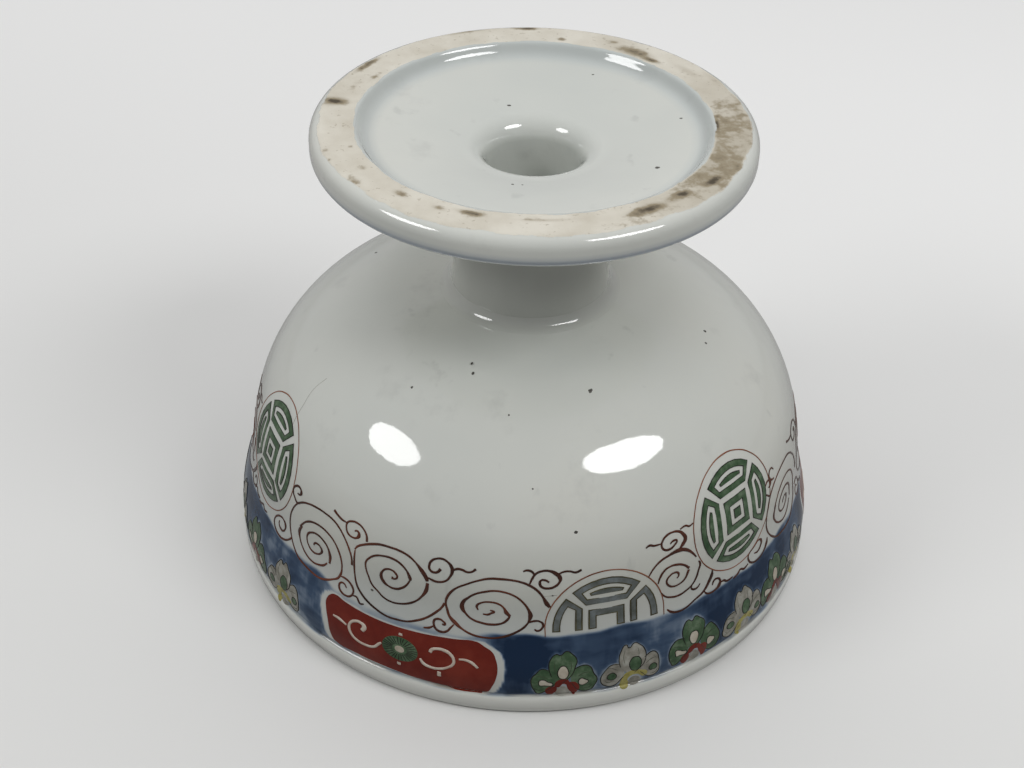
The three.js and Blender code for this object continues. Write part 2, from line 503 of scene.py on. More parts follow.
def curve_to_mesh(piece):
    """Makes the curve a mesh, closes its seams and turns its faces outwards."""
    pick(piece)
    bpy.ops.object.convert(target="MESH")
    bpy.ops.object.mode_set(mode="EDIT")
    bpy.ops.mesh.select_all(action="SELECT")
    bpy.ops.mesh.remove_doubles(threshold=SAME_PLACE)
    bpy.ops.mesh.normals_make_consistent(inside=False)
    bpy.ops.object.mode_set(mode="OBJECT")
    return piece


def lay(piece, bottom, top):
    """Stretches a flat piece so that it reaches from bottom to top over the glaze."""
    heights = [vertex.co.z for vertex in piece.data.vertices]
    low, high = min(heights), max(heights)
    for vertex in piece.data.vertices:
        vertex.co.z = bottom + (vertex.co.z - low) * (top - bottom) / (high - low)


def join(pieces, name):
    """Joins meshes into the first and gives it a name."""
    deselect_all()
    for piece in pieces:
        piece.select_set(True)
    bpy.context.view_layer.objects.active = pieces[0]
    if len(pieces) > 1:
        bpy.ops.object.join()
    pieces[0].name = name
    pieces[0].data.name = name
    return pieces[0]


# %% Brush lines
SUNK = -0.05
FLAT = 0.001
UNSTEADY = (0.82, 1.12)
PRESSED = 1.75
LIFTED_OFF = 0.7


class Brush:
    """A pot of one colour for lines: it gathers strokes and then lays them on the wall."""

    def __init__(self, name, width, lift):
        self.curve = new_curve(name)
        self.curve.data.bevel_depth = width / 2
        self.curve.data.bevel_resolution = 1
        self.curve.data.fill_mode = "NONE"
        self.curve.data.use_fill_caps = True
        self.lift = lift
        self.strokes = 0

    def stroke(self, points, pressed=(), closed=False, pointed=False):
        """One stroke. pressed holds the numbers of the points where the brush was leant on."""
        widths = []
        for i in range(len(points)):
            width = hand.uniform(*UNSTEADY)
            if i in pressed:
                width *= PRESSED
            if not closed and i in (0, len(points) - 1):
                width *= LIFTED_OFF
            widths.append(width)
        add_spline(self.curve.data, points, closed, pointed, widths)
        self.strokes += 1

    def finish(self):
        """The strokes as one mesh, wrapped round the wall."""
        piece = curve_to_mesh(self.curve)
        for vertex in piece.data.vertices:
            if abs(vertex.co.z) <= FLAT:
                vertex.co.z = self.lift / 2
            else:
                vertex.co.z = self.lift if vertex.co.z > 0 else SUNK
        wrap(piece)
        pick(piece)
        bpy.ops.object.shade_smooth()
        print(piece.name, "has", self.strokes, "strokes and", len(piece.data.polygons), "faces")
        return piece


# %% Filled areas
STRIP = 1.6
EDGE_SOFT = 0.05


class Enamel:
    """A pot of one colour for areas: each is made at once, and all are joined at the end."""

    def __init__(self, name):
        self.name = name
        self.areas = []

    def fill(self, outline, height, holes=(), pointed=False):
        """One filled area with a soft edge, from just under the glaze up to a height."""
        piece = new_curve(self.name)
        data = piece.data
        data.fill_mode = "BOTH"
        data.extrude = EDGE_SOFT
        data.bevel_depth = EDGE_SOFT
        data.offset = -EDGE_SOFT
        add_spline(data, outline, closed=True, pointed=pointed)
        for hole in holes:
            add_spline(data, hole, closed=True, pointed=pointed)
        curve_to_mesh(piece)
        lay(piece, SUNK, height)
        self.areas.append(piece)

    def finish(self):
        """The areas as one mesh, cut into strips and wrapped round the wall."""
        piece = join(self.areas, self.name)
        count = len(self.areas)
        cut_in_strips(piece)
        wrap(piece)
        pick(piece)
        bpy.ops.object.shade_smooth_by_angle(angle=math.radians(60))
        print(piece.name, "has", count, "areas and", len(piece.data.polygons), "faces")
        return piece


def cut_in_strips(piece):
    """Cuts a flat piece along evenly spaced lines, first across the paper and then along it."""
    places = np.array([vertex.co[:2] for vertex in piece.data.vertices])
    bpy.context.view_layer.objects.active = piece
    bpy.ops.object.mode_set(mode="EDIT")
    for axis, direction in ((0, (1, 0, 0)), (1, (0, 1, 0))):
        first = math.ceil(places[:, axis].min() / STRIP)
        last = math.floor(places[:, axis].max() / STRIP)
        for i in range(first, last + 1):
            if np.abs(places[:, axis] - i * STRIP).min() > 2 * STRIP:
                continue
            bpy.ops.mesh.select_all(action="SELECT")
            cut_at = tuple(i * STRIP * part for part in direction)
            bpy.ops.mesh.bisect(plane_co=cut_at, plane_no=direction)
    bpy.ops.object.mode_set(mode="OBJECT")


# %% [markdown]
# ## Where things stand round the bowl
# The painter worked by eye. Three red panels and three groups of scrolls go round the bowl, but
# not quite evenly, and every flower and scroll differs a little from the next.

# %% Places round the bowl, in millimetres along the paper
PANELS = (-27.3, 122.8, 272.8)
ROUNDELS = (-82.2, 60.0, 218.3)
FLOWERS_FRONT = (10.2, 26.5, 43.3, 59.5, 73.8, 87.0)
FLOWERS_RIGHT = tuple(160.3 + 15.2 * i for i in range(6))
FLOWERS_LEFT = tuple(310.3 + 16.4 * i for i in range(6))
FLOWERS = FLOWERS_FRONT + FLOWERS_RIGHT + FLOWERS_LEFT
FLOWER_FOOT = 6.5
FLOWER_RISES = {43.3: 1.0, 59.5: 1.2, 73.8: 1.2}


def flower_place(middle):
    """Where the foot of a flower stands on the paper."""
    return middle, FLOWER_FOOT + FLOWER_RISES.get(middle, 0.3)


def wander(along, waves):
    """The sum of waves that close after one turn of the bowl, each (height, count, phase)."""
    turn = 2 * math.pi * along / TURN_LENGTH
    return sum(height * np.sin(count * turn + phase) for height, count, phase in waves)
# %% [markdown]
# ## Red panel
# Each panel is a long red field, rounder at its right end, with pale scrolls and a green daisy.

# %% The panel's drawing, round its own middle
PANEL_EDGE = [(-22.5, 19.2), (-21.4, 21.3), (-20.0, 22.0), (-16.8, 21.6), (-7.7, 21.1), (2.3, 21.4),
              (12.3, 22.0), (17.5, 22.2), (19.3, 21.2), (21.3, 19.8), (22.1, 18.0), (22.6, 15.3),
              (22.3, 12.3), (21.5, 9.7), (20.1, 7.2), (17.3, 6.8), (7.3, 7.1), (-2.7, 7.8),
              (-12.7, 7.9), (-19.2, 8.1), (-20.2, 9.5), (-21.3, 14.0), (-22.2, 17.0)]
PANEL_SCROLLS = [
    [(-19.7, 16.2), (-17.9, 16.2), (-15.5, 15.6)],
    [(-11.0, 16.2), (-10.5, 17.5), (-11.6, 18.2), (-13.3, 17.9), (-14.5, 16.7), (-14.7, 15.4),
     (-13.9, 13.8), (-12.4, 12.8), (-9.9, 12.5), (-7.5, 13.1), (-6.2, 14.6), (-5.6, 15.2)],
    [(4.4, 14.5), (5.3, 13.3), (7.0, 12.7), (9.0, 12.8), (11.0, 13.7), (12.3, 15.0), (12.4, 16.3),
     (11.5, 17.7), (10.0, 18.4), (8.3, 18.4), (7.0, 17.8), (6.7, 17.0)],
    [(9.1, 11.9), (9.1, 10.4)],
    [(13.6, 16.7), (15.0, 16.8), (16.6, 16.3), (18.1, 15.0)],
    [(-0.9, 19.8), (-0.9, 19.2)],
    [(-0.8, 11.3), (-0.8, 10.5)],
]
PANEL_BLOBS = {1: (0, 1), 2: (11,), 3: (0, 1), 5: (0, 1), 6: (0, 1)}
DAISY_PLACE = (-0.8, 15.35)
DAISY_RADII = (4.55, 3.35)
DAISY_RAYS = 28


def shift(points, along, up=0.0, stretch=1.0, about=0.0):
    """The points moved along and up the paper, and stretched along it about a place."""
    return [(about + (x - about) * stretch + along, y + up) for x, y in points]


def ring(centre, radii, count=10, start_degrees=0.0):
    """Points round an ellipse."""
    points = []
    for i in range(count):
        turn = math.radians(start_degrees + 360 * i / count)
        points.append((centre[0] + radii[0] * math.cos(turn), centre[1] + radii[1] * math.sin(turn)))
    return points


# %% [markdown]
# ## Flowers
# A flower has three petals, each with a keyhole, over a moustache of two blobs and a bridge.
# Green flowers have cream keyholes and a red moustache, and white ones green and yellow.

# %% The flowers' drawings, round the foot of each
GREEN_TOP = [(-2.6, 6.5), (-3.2, 9.2), (-2.7, 11.5), (-1.5, 13.0), (-0.5, 12.3), (0.8, 13.3),
             (2.1, 12.5), (3.1, 10.7), (3.0, 8.8), (2.1, 6.5), (0.0, 4.4)]
GREEN_LEFT = [(-2.9, 8.3), (-4.7, 8.9), (-6.2, 7.8), (-7.0, 6.0), (-7.0, 4.2), (-6.5, 2.2),
              (-5.6, 0.9), (-3.8, 1.6), (-1.8, 4.2)]
GREEN_RIGHT = [(2.9, 8.4), (4.8, 9.3), (6.1, 8.5), (7.2, 6.5), (7.9, 4.5), (7.5, 2.2),
               (6.5, 1.1), (4.2, 1.2), (2.0, 4.2)]
WHITE_TOP = [(-2.7, 6.5), (-3.2, 8.8), (-2.5, 11.2), (-1.2, 12.5), (-0.5, 11.7), (0.8, 12.8),
             (2.2, 11.8), (3.3, 10.2), (3.7, 8.5), (3.0, 6.2), (0.6, 4.0)]
WHITE_LEFT = [(-3.0, 7.8), (-5.2, 7.7), (-6.5, 6.5), (-7.3, 4.8), (-7.2, 2.8), (-6.2, 1.2),
              (-4.2, 0.9), (-1.8, 3.5)]
WHITE_RIGHT = [(3.4, 8.2), (5.2, 9.0), (6.3, 8.2), (7.0, 6.5), (7.2, 4.2), (6.8, 1.8),
               (5.2, 1.0), (2.4, 3.5)]
GREEN_FLOWER_KEYHOLES = [
    [(-1.0, 6.2), (-0.9, 8.9), (0.0, 9.4), (0.8, 8.9), (0.8, 6.2), (0.0, 5.6)],
    [(-5.5, 4.6), (-5.2, 5.5), (-4.2, 5.6), (-3.4, 4.9), (-2.3, 4.4), (-2.5, 3.6), (-4.2, 3.8),
     (-5.1, 3.9)],
    [(3.5, 4.3), (4.3, 5.2), (5.3, 5.1), (5.9, 4.2), (5.2, 3.3), (4.2, 3.0)],
]
WHITE_FLOWER_KEYHOLES = [
    [(-0.2, 5.4), (0.0, 8.4), (1.1, 8.9), (2.2, 8.2), (2.2, 5.6), (1.2, 4.6)],
    [(-5.8, 4.4), (-5.0, 5.3), (-4.0, 5.0), (-3.5, 4.0), (-4.2, 3.2), (-5.2, 3.4)],
    [(4.6, 4.4), (5.4, 5.3), (6.3, 4.8), (6.3, 3.6), (5.5, 3.1), (4.7, 3.5)],
]
RED_MOUSTACHE = [
    [(-3.9, 2.0), (-3.5, 0.6), (-2.7, 0.1), (-1.9, 0.9), (-1.3, 2.1), (-1.7, 3.1), (-2.9, 3.2)],
    [(-1.8, 3.1), (-1.6, 4.6), (-0.6, 5.5), (0.7, 5.4), (1.6, 4.4), (1.3, 3.4), (0.1, 3.9),
     (-0.9, 3.1)],
    [(1.2, 4.0), (2.4, 4.5), (3.5, 3.9), (3.9, 2.3), (3.5, 0.8), (2.7, 0.1), (1.9, 1.0), (1.2, 2.6)],
]
YELLOW_MOUSTACHE = [
    [(-2.2, -0.6), (-2.6, 1.0), (-2.2, 3.2), (-1.0, 4.3), (1.0, 4.6), (2.4, 4.1), (3.8, 3.3),
     (3.9, 2.2), (2.9, 1.9), (1.7, 2.9), (0.3, 3.1), (-0.6, 2.3), (-0.6, 0.4), (-1.1, -1.0)],
]
HALF_DISC = [(-1.5, 0.4), (-1.4, 2.0), (-0.6, 3.1), (0.5, 3.1), (1.4, 2.0), (1.5, 0.4)]
WHITE_HALF_DISC = [(-0.6, 0.3), (-0.4, 1.6), (0.5, 2.6), (1.6, 2.4), (2.4, 1.4), (2.5, 0.3)]
GREEN_PETALS = (GREEN_LEFT, GREEN_RIGHT, GREEN_TOP)
WHITE_PETALS = (WHITE_LEFT, WHITE_RIGHT, WHITE_TOP)


def flower_is_green(number):
    """Green and white flowers take turns, and each group of six starts with a green one."""
    return number % 2 == 0


# %% [markdown]
# ## Cobalt band
# The blue was brushed on the raw clay, under the glaze, so it is part of the glaze's colour and
# has soft, watery edges. How much blue there is at a place is worked out once for each point of
# the bowl, from its distance to the panels and flowers, and is stored on the mesh as an attribute.

# %% Distance from points to an outline
def outline_distance(along, up, outline, up_weight=1.0):
    """Distance from points to a closed outline, below zero inside it."""
    corners = np.array([(x, y * up_weight) for x, y in outline])
    up = up * up_weight
    nearest = np.full(along.shape, np.inf)
    inside = np.zeros(along.shape, bool)
    for (ax, ay), (bx, by) in zip(corners, np.roll(corners, -1, axis=0)):
        length_squared = (bx - ax) ** 2 + (by - ay) ** 2
        share = np.clip(((along - ax) * (bx - ax) + (up - ay) * (by - ay)) / length_squared, 0, 1)
        gap = np.hypot(along - ax - share * (bx - ax), up - ay - share * (by - ay))
        nearest = np.minimum(nearest, gap)
        crosses = (ay > up) != (by > up)
        with np.errstate(divide="ignore", invalid="ignore"):
            inside ^= crosses & (along < ax + (up - ay) * (bx - ax) / (by - ay))
    return np.where(inside, -nearest, nearest)


def fade(distance, width):
    """Rises smoothly from 0 to 1 while the distance goes from -width / 2 to width / 2."""
    share = np.clip(distance / width + 0.5, 0, 1)
    return share * share * (3 - 2 * share)


def from_middle(along, middle):
    """Distance along the paper from a middle, the short way round the bowl."""
    return (along - middle + TURN_LENGTH / 2) % TURN_LENGTH - TURN_LENGTH / 2


# %% How much cobalt there is at each point
BAND_LOW = 6.9
BAND_HIGH = 24.6
PANEL_HALO = 2.3
FLOWER_HALO = 0.3
PANEL_REACH = 30.0
PANEL_DIP = 1.3
PANEL_TOP_BLUE = 0.38
PANEL_END_BLUE = 1.45
FLOWER_REACH = 10.0
FLOWER_BLUE = 0.25
LOW_WAVES = ((0.2, 11, 0.4), (0.12, 37, 1.0))
HIGH_WAVES = ((0.35, 17, 2.0), (0.2, 41, 0.3))
WASH = 0.86
WASH_WAVES = ((0.13, 7, 2.4), (0.08, 19, 0.9))
LOW_BLUE = 0.72


def from_to(low, high, share):
    """The value at a share of the way from low to high."""
    return low + (high - low) * share


def cobalt_at(along, up):
    """Share of full blue, from 0 to 1, at points of the paper."""
    low = BAND_LOW + wander(along, LOW_WAVES)
    high = BAND_HIGH + wander(along, HIGH_WAVES)
    wash = WASH + wander(along, WASH_WAVES)
    wash = wash * from_to(LOW_BLUE, 1, fade(up - low - 2.2, 4.0))
    for middle in PANELS:
        x = from_middle(along, middle)
        near = np.abs(x) < PANEL_REACH
        over = fade(x + 21.5, 3) * fade(20.5 - x, 5) * fade(up - 21.2, 0.8)
        high = high - PANEL_DIP * fade(x + 23, 6) * fade(18 - x, 8)
        wash = wash * from_to(1, PANEL_TOP_BLUE, over)
        gap = outline_distance(x[near], up[near], PANEL_EDGE, up_weight=5.0)
        wash[near] *= fade(gap - PANEL_HALO + 0.35, 0.7)
        ends = fade(x - 24.5, 1.0) * fade(29.5 - x, 2.5) + fade(-23.8 - x, 1.0) * fade(x + 29, 2.5)
        wash = wash * from_to(1, PANEL_END_BLUE, ends * fade(22.5 - up, 3))
    for number, middle in enumerate(FLOWERS):
        x = from_middle(along, middle)
        near = np.abs(x) < FLOWER_REACH
        y = up[near] - flower_place(middle)[1]
        petals = GREEN_PETALS if flower_is_green(number) else WHITE_PETALS
        gaps = [outline_distance(x[near], y, petal) for petal in petals]
        wash[near] *= from_to(FLOWER_BLUE, 1, fade(np.min(gaps, axis=0) - FLOWER_HALO, 1.5))
        from_foot = np.hypot(x[near], (y - 1.0) * 0.8)
        wash[near] *= from_to(FLOWER_BLUE, 1, fade(from_foot - 3.2, 2.0))
    return np.clip(wash, 0, 1) * fade(up - low, 1.1) * fade(high - up, 1.5)


def store(piece, name, values):
    """Stores one number for each point of a piece as an attribute that a material can read."""
    layer = piece.data.attributes.new(name, "FLOAT", "POINT")
    layer.data.foreach_set("value", np.asarray(values, dtype=np.float32))


def places_of(piece):
    """The points of a piece as an array of (x, y, z) in millimetres."""
    places = np.empty(len(piece.data.vertices) * 3, dtype=np.float32)
    piece.data.vertices.foreach_get("co", places)
    return places.reshape(-1, 3).astype(float) / MM


# %% Store the cobalt on the bowl
bowl_places = places_of(bowl)
bowl_radii = np.hypot(bowl_places[:, 0], bowl_places[:, 1])
bowl_along = np.arctan2(bowl_places[:, 0], -bowl_places[:, 1]) * PAPER_RADIUS
bowl_up = np.interp(bowl_places[:, 2], wall_heights, wall_lengths)
outside_radius = np.interp(bowl_places[:, 2], wall_heights, wall_radii)
painted = (bowl_radii > outside_radius - 1.0) & (bowl_up > 4.0) & (bowl_up < 30.0)
cobalt = np.zeros(len(bowl_places))
cobalt[painted] = cobalt_at(bowl_along[painted], bowl_up[painted])
store(bowl, "cobalt", cobalt)
print("points with blue:", int((cobalt > 0.1).sum()))
# %% [markdown]
# ## Scrolls
# Over the band run spiral scrolls in iron red. A stroke starts pressed down, runs out thin, and
# turns into the next. The strokes are drawn once for the front third and are moved round for
# the other two, a group at a time, with small differences.

# %% The scrolls' strokes, group by group, as (points, numbers of pressed points)
SPIRAL_ONE = [
    ([(-43.3, 32.7), (-43.5, 34.6), (-44.5, 36.9), (-46.2, 39.2), (-48.3, 41.0), (-50.6, 42.0),
      (-53.3, 42.3), (-56.8, 42.1), (-60.2, 41.3), (-62.5, 40.2), (-64.5, 38.5), (-65.9, 36.2),
      (-66.8, 33.1), (-66.6, 30.0), (-65.4, 27.5), (-64.1, 26.0), (-61.8, 24.4), (-58.7, 23.7),
      (-55.6, 23.4), (-52.9, 23.5), (-50.6, 24.4), (-48.7, 25.6), (-47.3, 26.7), (-46.5, 28.5)],
     (0, 23)),
    ([(-46.5, 28.2), (-46.4, 29.8), (-46.6, 31.9), (-47.5, 34.2), (-49.1, 36.2), (-51.4, 37.5),
      (-54.1, 38.0), (-56.8, 37.7), (-59.1, 36.7), (-60.8, 35.2), (-62.2, 33.3)], (0, 10)),
    ([(-61.4, 33.9), (-62.5, 31.5), (-62.0, 29.6), (-60.6, 27.9), (-58.7, 26.8), (-56.4, 26.3),
      (-54.5, 26.6), (-52.5, 27.5), (-51.3, 28.8)], (0, 1)),
    ([(-50.5, 29.2), (-50.5, 31.5), (-51.4, 33.5), (-52.9, 34.6), (-55.2, 35.1), (-57.5, 34.4),
      (-58.9, 33.1), (-59.2, 31.3), (-58.3, 29.8), (-56.8, 29.1), (-55.0, 29.4), (-53.7, 30.4),
      (-53.4, 31.3), (-54.1, 32.2), (-55.2, 32.4), (-56.2, 31.9), (-56.5, 31.2)], (0, 1, 12)),
    ([(-63.1, 39.6), (-64.5, 39.0), (-65.8, 39.8), (-66.7, 40.8), (-66.8, 41.9), (-66.0, 42.9),
      (-64.8, 43.4), (-63.8, 43.1), (-63.4, 42.4), (-63.9, 41.6), (-64.8, 41.5)], (8,)),
]
CURLS_ONE = [
    ([(-50.8, 44.6), (-49.5, 44.0), (-47.9, 43.5), (-46.2, 43.4)], (0,)),
    ([(-39.5, 41.2), (-39.8, 42.7), (-41.0, 44.0), (-42.9, 44.7), (-44.8, 44.4), (-46.0, 43.5),
      (-46.0, 41.9), (-45.2, 40.8), (-43.9, 40.5), (-42.7, 40.8), (-42.0, 41.7), (-42.2, 42.5),
      (-42.9, 42.7), (-43.4, 42.4)], (0, 10)),
    ([(-46.5, 27.7), (-45.2, 27.8), (-43.7, 27.4), (-42.5, 26.3), (-42.2, 25.2), (-42.9, 23.8),
      (-44.3, 23.3), (-45.8, 23.7), (-46.6, 24.8), (-46.2, 26.0), (-45.2, 26.2), (-44.3, 25.4)], ()),
    ([(-42.2, 24.4), (-41.0, 24.4), (-40.4, 23.7), (-39.8, 23.2), (-38.8, 23.5)], ()),
]
SPIRAL_TWO = [
    ([(-42.7, 37.7), (-42.0, 38.8), (-40.0, 40.2), (-38.0, 41.2), (-35.7, 42.0), (-33.0, 42.3),
      (-30.3, 42.3), (-27.7, 41.7), (-25.7, 40.5), (-24.0, 38.8), (-22.8, 37.2), (-22.5, 36.4)],
     (9, 10, 11)),
    ([(-22.4, 35.9), (-22.7, 33.7), (-23.7, 31.7), (-25.0, 30.0), (-26.7, 28.7), (-29.0, 27.7),
      (-31.3, 27.3), (-33.7, 27.7), (-35.3, 28.7), (-37.2, 30.0), (-38.3, 32.0), (-39.2, 34.3),
      (-39.2, 35.7), (-38.3, 37.2), (-36.8, 38.5), (-34.7, 39.3), (-32.0, 39.6), (-29.7, 39.0),
      (-28.0, 37.7), (-27.0, 36.0), (-26.8, 35.3)], (0, 1, 19, 20)),
    ([(-26.9, 35.3), (-27.7, 33.7), (-29.0, 32.3), (-30.7, 31.4), (-32.7, 31.5), (-34.0, 32.3),
      (-34.7, 33.7), (-34.3, 35.2), (-33.2, 36.2), (-31.8, 36.4), (-30.7, 35.8), (-30.3, 35.0),
      (-31.0, 34.2), (-31.8, 34.3)], (5, 6, 13)),
    ([(-42.6, 37.5), (-42.7, 35.4), (-42.6, 33.1), (-42.3, 30.4), (-41.4, 27.7), (-39.7, 25.9),
      (-38.0, 24.8), (-35.3, 23.7), (-32.3, 23.0), (-29.7, 23.1), (-27.0, 23.5), (-24.7, 24.5),
      (-22.3, 26.0), (-20.0, 28.2), (-18.7, 29.8), (-18.0, 31.3)], (15,)),
]
CURLS_TWO = [
    ([(-19.4, 40.6), (-20.0, 39.7), (-21.0, 39.3), (-22.0, 39.7), (-22.3, 40.8), (-21.8, 42.2),
      (-20.7, 43.0), (-19.2, 43.3), (-17.8, 42.8), (-16.8, 41.8), (-16.5, 40.7), (-17.0, 39.0),
      (-18.0, 37.7), (-19.7, 37.0), (-21.3, 37.1), (-22.3, 37.5)], (0, 9, 10)),
    ([(-16.5, 40.8), (-15.3, 41.5), (-14.2, 41.5), (-12.8, 41.1), (-11.7, 41.4), (-10.8, 42.2)],
     (5,)),
    ([(-15.5, 25.8), (-16.2, 24.8), (-17.0, 23.7), (-18.3, 23.2), (-19.7, 23.7), (-20.3, 24.8),
      (-20.2, 26.0), (-19.2, 26.5), (-18.2, 26.2), (-17.6, 25.4), (-18.3, 25.3)], ()),
    ([(-22.7, 23.2), (-21.5, 23.5), (-20.3, 24.3)], ()),
]
SPIRAL_THREE = [
    ([(7.0, 32.7), (6.3, 33.7), (5.3, 35.7), (4.0, 37.5), (2.3, 38.8), (0.3, 39.7), (-2.3, 40.2),
      (-5.0, 40.3), (-7.7, 40.1), (-10.3, 39.2), (-13.0, 37.8), (-15.3, 36.3), (-16.7, 34.7),
      (-17.5, 33.0), (-17.7, 31.3), (-17.3, 29.7), (-16.7, 28.0), (-15.3, 26.5), (-13.3, 25.0),
      (-10.7, 23.9), (-8.0, 23.6), (-5.3, 23.8), (-3.0, 24.5), (-0.7, 25.7), (1.0, 27.0),
      (2.0, 28.3)], (0, 1, 17)),
    ([(2.0, 28.3), (2.5, 30.3), (2.0, 32.0), (0.8, 34.0), (-1.0, 35.7), (-3.3, 36.7), (-6.0, 37.0),
      (-8.3, 36.5), (-10.7, 35.5), (-12.3, 34.2), (-13.5, 32.7), (-13.7, 31.0), (-12.8, 29.5),
      (-11.3, 28.2), (-9.0, 27.5), (-6.7, 27.3), (-4.3, 27.8), (-3.0, 28.8), (-2.3, 30.0)],
     (1, 10, 11)),
    ([(-2.3, 30.0), (-3.2, 31.0), (-3.8, 32.3), (-5.2, 33.4), (-7.0, 33.7), (-9.0, 33.3),
      (-10.2, 32.2), (-9.9, 31.0)], (0, 1)),
    ([(-8.7, 30.0), (-7.5, 30.0), (-6.7, 30.5), (-6.1, 30.9), (-7.0, 31.3)], ()),
]
CURLS_THREE = [
    ([(2.0, 28.3), (3.3, 28.8), (4.7, 28.7), (5.5, 27.8), (5.2, 26.7), (4.3, 26.1), (3.5, 26.5)], ()),
    ([(0.5, 42.6), (1.5, 42.9), (2.5, 42.6), (3.3, 41.7)], ()),
    ([(2.1, 39.3), (2.7, 40.8), (3.5, 42.0), (5.0, 42.7), (6.7, 42.7), (8.2, 42.0), (9.3, 40.7),
      (9.2, 39.7), (8.0, 38.5), (6.5, 38.1), (5.0, 38.5), (4.5, 39.5), (4.8, 40.3), (5.8, 40.3),
      (6.7, 39.7)], (5, 6)),
    ([(8.8, 41.7), (10.2, 42.3), (11.7, 42.3), (13.0, 41.9), (14.5, 42.4)], (4,)),
]
SPIRAL_FOUR = [
    ([(31.3, 36.8), (32.7, 38.7), (34.7, 40.2), (37.0, 40.9), (40.0, 41.3), (42.0, 40.7),
      (43.7, 39.3), (45.0, 37.5)], (4, 5)),
    ([(33.9, 34.0), (34.5, 35.7), (35.7, 37.2), (37.3, 37.8), (39.3, 37.6), (41.3, 36.7),
      (42.8, 35.2)], (6,)),
    ([(42.7, 34.8), (41.5, 32.5), (40.0, 31.7), (38.0, 31.7), (36.7, 32.7), (36.3, 34.0),
      (37.2, 35.2), (38.3, 35.6), (39.5, 35.2), (39.7, 34.3), (39.2, 33.7)], (0,)),
    ([(34.8, 31.0), (36.0, 29.5), (37.7, 28.7), (39.7, 28.4), (41.7, 28.8), (43.7, 29.7),
      (45.0, 31.3), (45.7, 33.3), (46.2, 35.0), (45.7, 36.0)], ()),
    ([(43.7, 29.7), (43.5, 28.8), (44.2, 28.2), (45.3, 28.2), (46.2, 29.0)], ()),
    ([(36.3, 25.7), (37.3, 24.7), (39.3, 24.0), (41.7, 24.2), (44.3, 25.2), (47.0, 26.2),
      (49.0, 28.2), (50.0, 29.7), (50.2, 31.0)], (6, 7)),
    ([(31.0, 44.7), (32.0, 45.1), (33.3, 44.7), (35.2, 44.6)], ()),
    ([(40.3, 41.7), (41.3, 42.5), (42.2, 43.7), (41.7, 45.0), (40.5, 46.1), (38.7, 46.5),
      (37.0, 46.2), (35.7, 45.2), (35.3, 44.0), (36.0, 42.8), (37.5, 42.5), (39.0, 43.2),
      (39.7, 44.0), (38.7, 44.3), (37.7, 43.8)], (1, 2, 3)),
    ([(41.0, 46.5), (42.7, 46.8), (43.8, 46.3), (45.0, 46.6)], ()),
]
ROUNDEL_CURLS = [
    ([(47.3, 26.2), (47.9, 25.3), (49.2, 24.8), (51.0, 25.0), (52.3, 25.7), (52.6, 26.8),
      (51.7, 27.7), (50.6, 27.6), (50.0, 26.6)], (4,)),
    ([(52.9, 26.0), (53.8, 26.0), (54.8, 25.3), (56.9, 25.3)], ()),
    ([(57.1, 24.7), (58.8, 25.1), (60.0, 25.7), (61.3, 25.1), (63.1, 25.5)], ()),
]
ROUNDEL_RIGHT_CURL = [
    ([(64.6, 28.3), (63.5, 27.6), (63.5, 26.2), (64.6, 24.9), (66.9, 24.3), (69.6, 24.7),
      (71.9, 26.2), (72.5, 27.4)], (6,)),
    ([(64.6, 28.3), (66.5, 28.8), (68.5, 29.3), (69.6, 28.2), (69.0, 27.2), (67.5, 26.4),
      (66.0, 26.8)], (3,)),
    ([(78.5, 44.3), (77.5, 45.2), (76.2, 44.9), (75.6, 43.7), (76.5, 42.4), (77.9, 42.0)], ()),
]
LEFT_ROUNDEL_CURL = [
    ([(-65.6, 27.3), (-66.8, 26.0), (-68.7, 24.8), (-71.0, 24.4), (-73.3, 25.0), (-74.5, 26.2),
      (-74.3, 27.7), (-73.1, 29.0), (-71.6, 29.8), (-70.2, 29.9), (-68.9, 29.0), (-68.9, 27.7),
      (-69.7, 26.7), (-71.0, 26.6), (-72.0, 27.3), (-72.0, 28.3)], (0, 10)),
]

# %% Where the groups of scrolls go
GROUPS = [(-56.4, SPIRAL_ONE), (-44.0, CURLS_ONE), (-31.0, SPIRAL_TWO), (-19.5, CURLS_TWO),
          (-7.0, SPIRAL_THREE), (6.0, CURLS_THREE), (39.0, SPIRAL_FOUR)]
HALF_ROUNDEL = (20.7, 26.5)
ROUNDEL_RISE = 42.8
RIGHT_THIRD = (139.2, 19.2)
LEFT_THIRD = (301.6, 16.3)
SPREAD_FROM = -56.4
SPREAD_TO = 60.0
STRETCH_AWAY = 1.1


def third_shift(middle, third):
    """How far a group moves round the bowl for the front (0), right (1) or left (2) third."""
    if third == 0:
        return 0.0
    start, extra = (RIGHT_THIRD, LEFT_THIRD)[third - 1]
    return start + extra * (middle - SPREAD_FROM) / (SPREAD_TO - SPREAD_FROM)


# %% Paint the scrolls
scroll_brush = Brush("iron_red_scrolls", 0.61, 0.09)


def paint_group(strokes, middle, move, stretch):
    """Paints a group of strokes, moved along the paper, a little higher or lower each time."""
    up = 0.0 if move == 0.0 else hand.uniform(-0.4, 0.4)
    for points, pressed in strokes:
        scroll_brush.stroke(shift(points, move, up, stretch, middle), pressed)


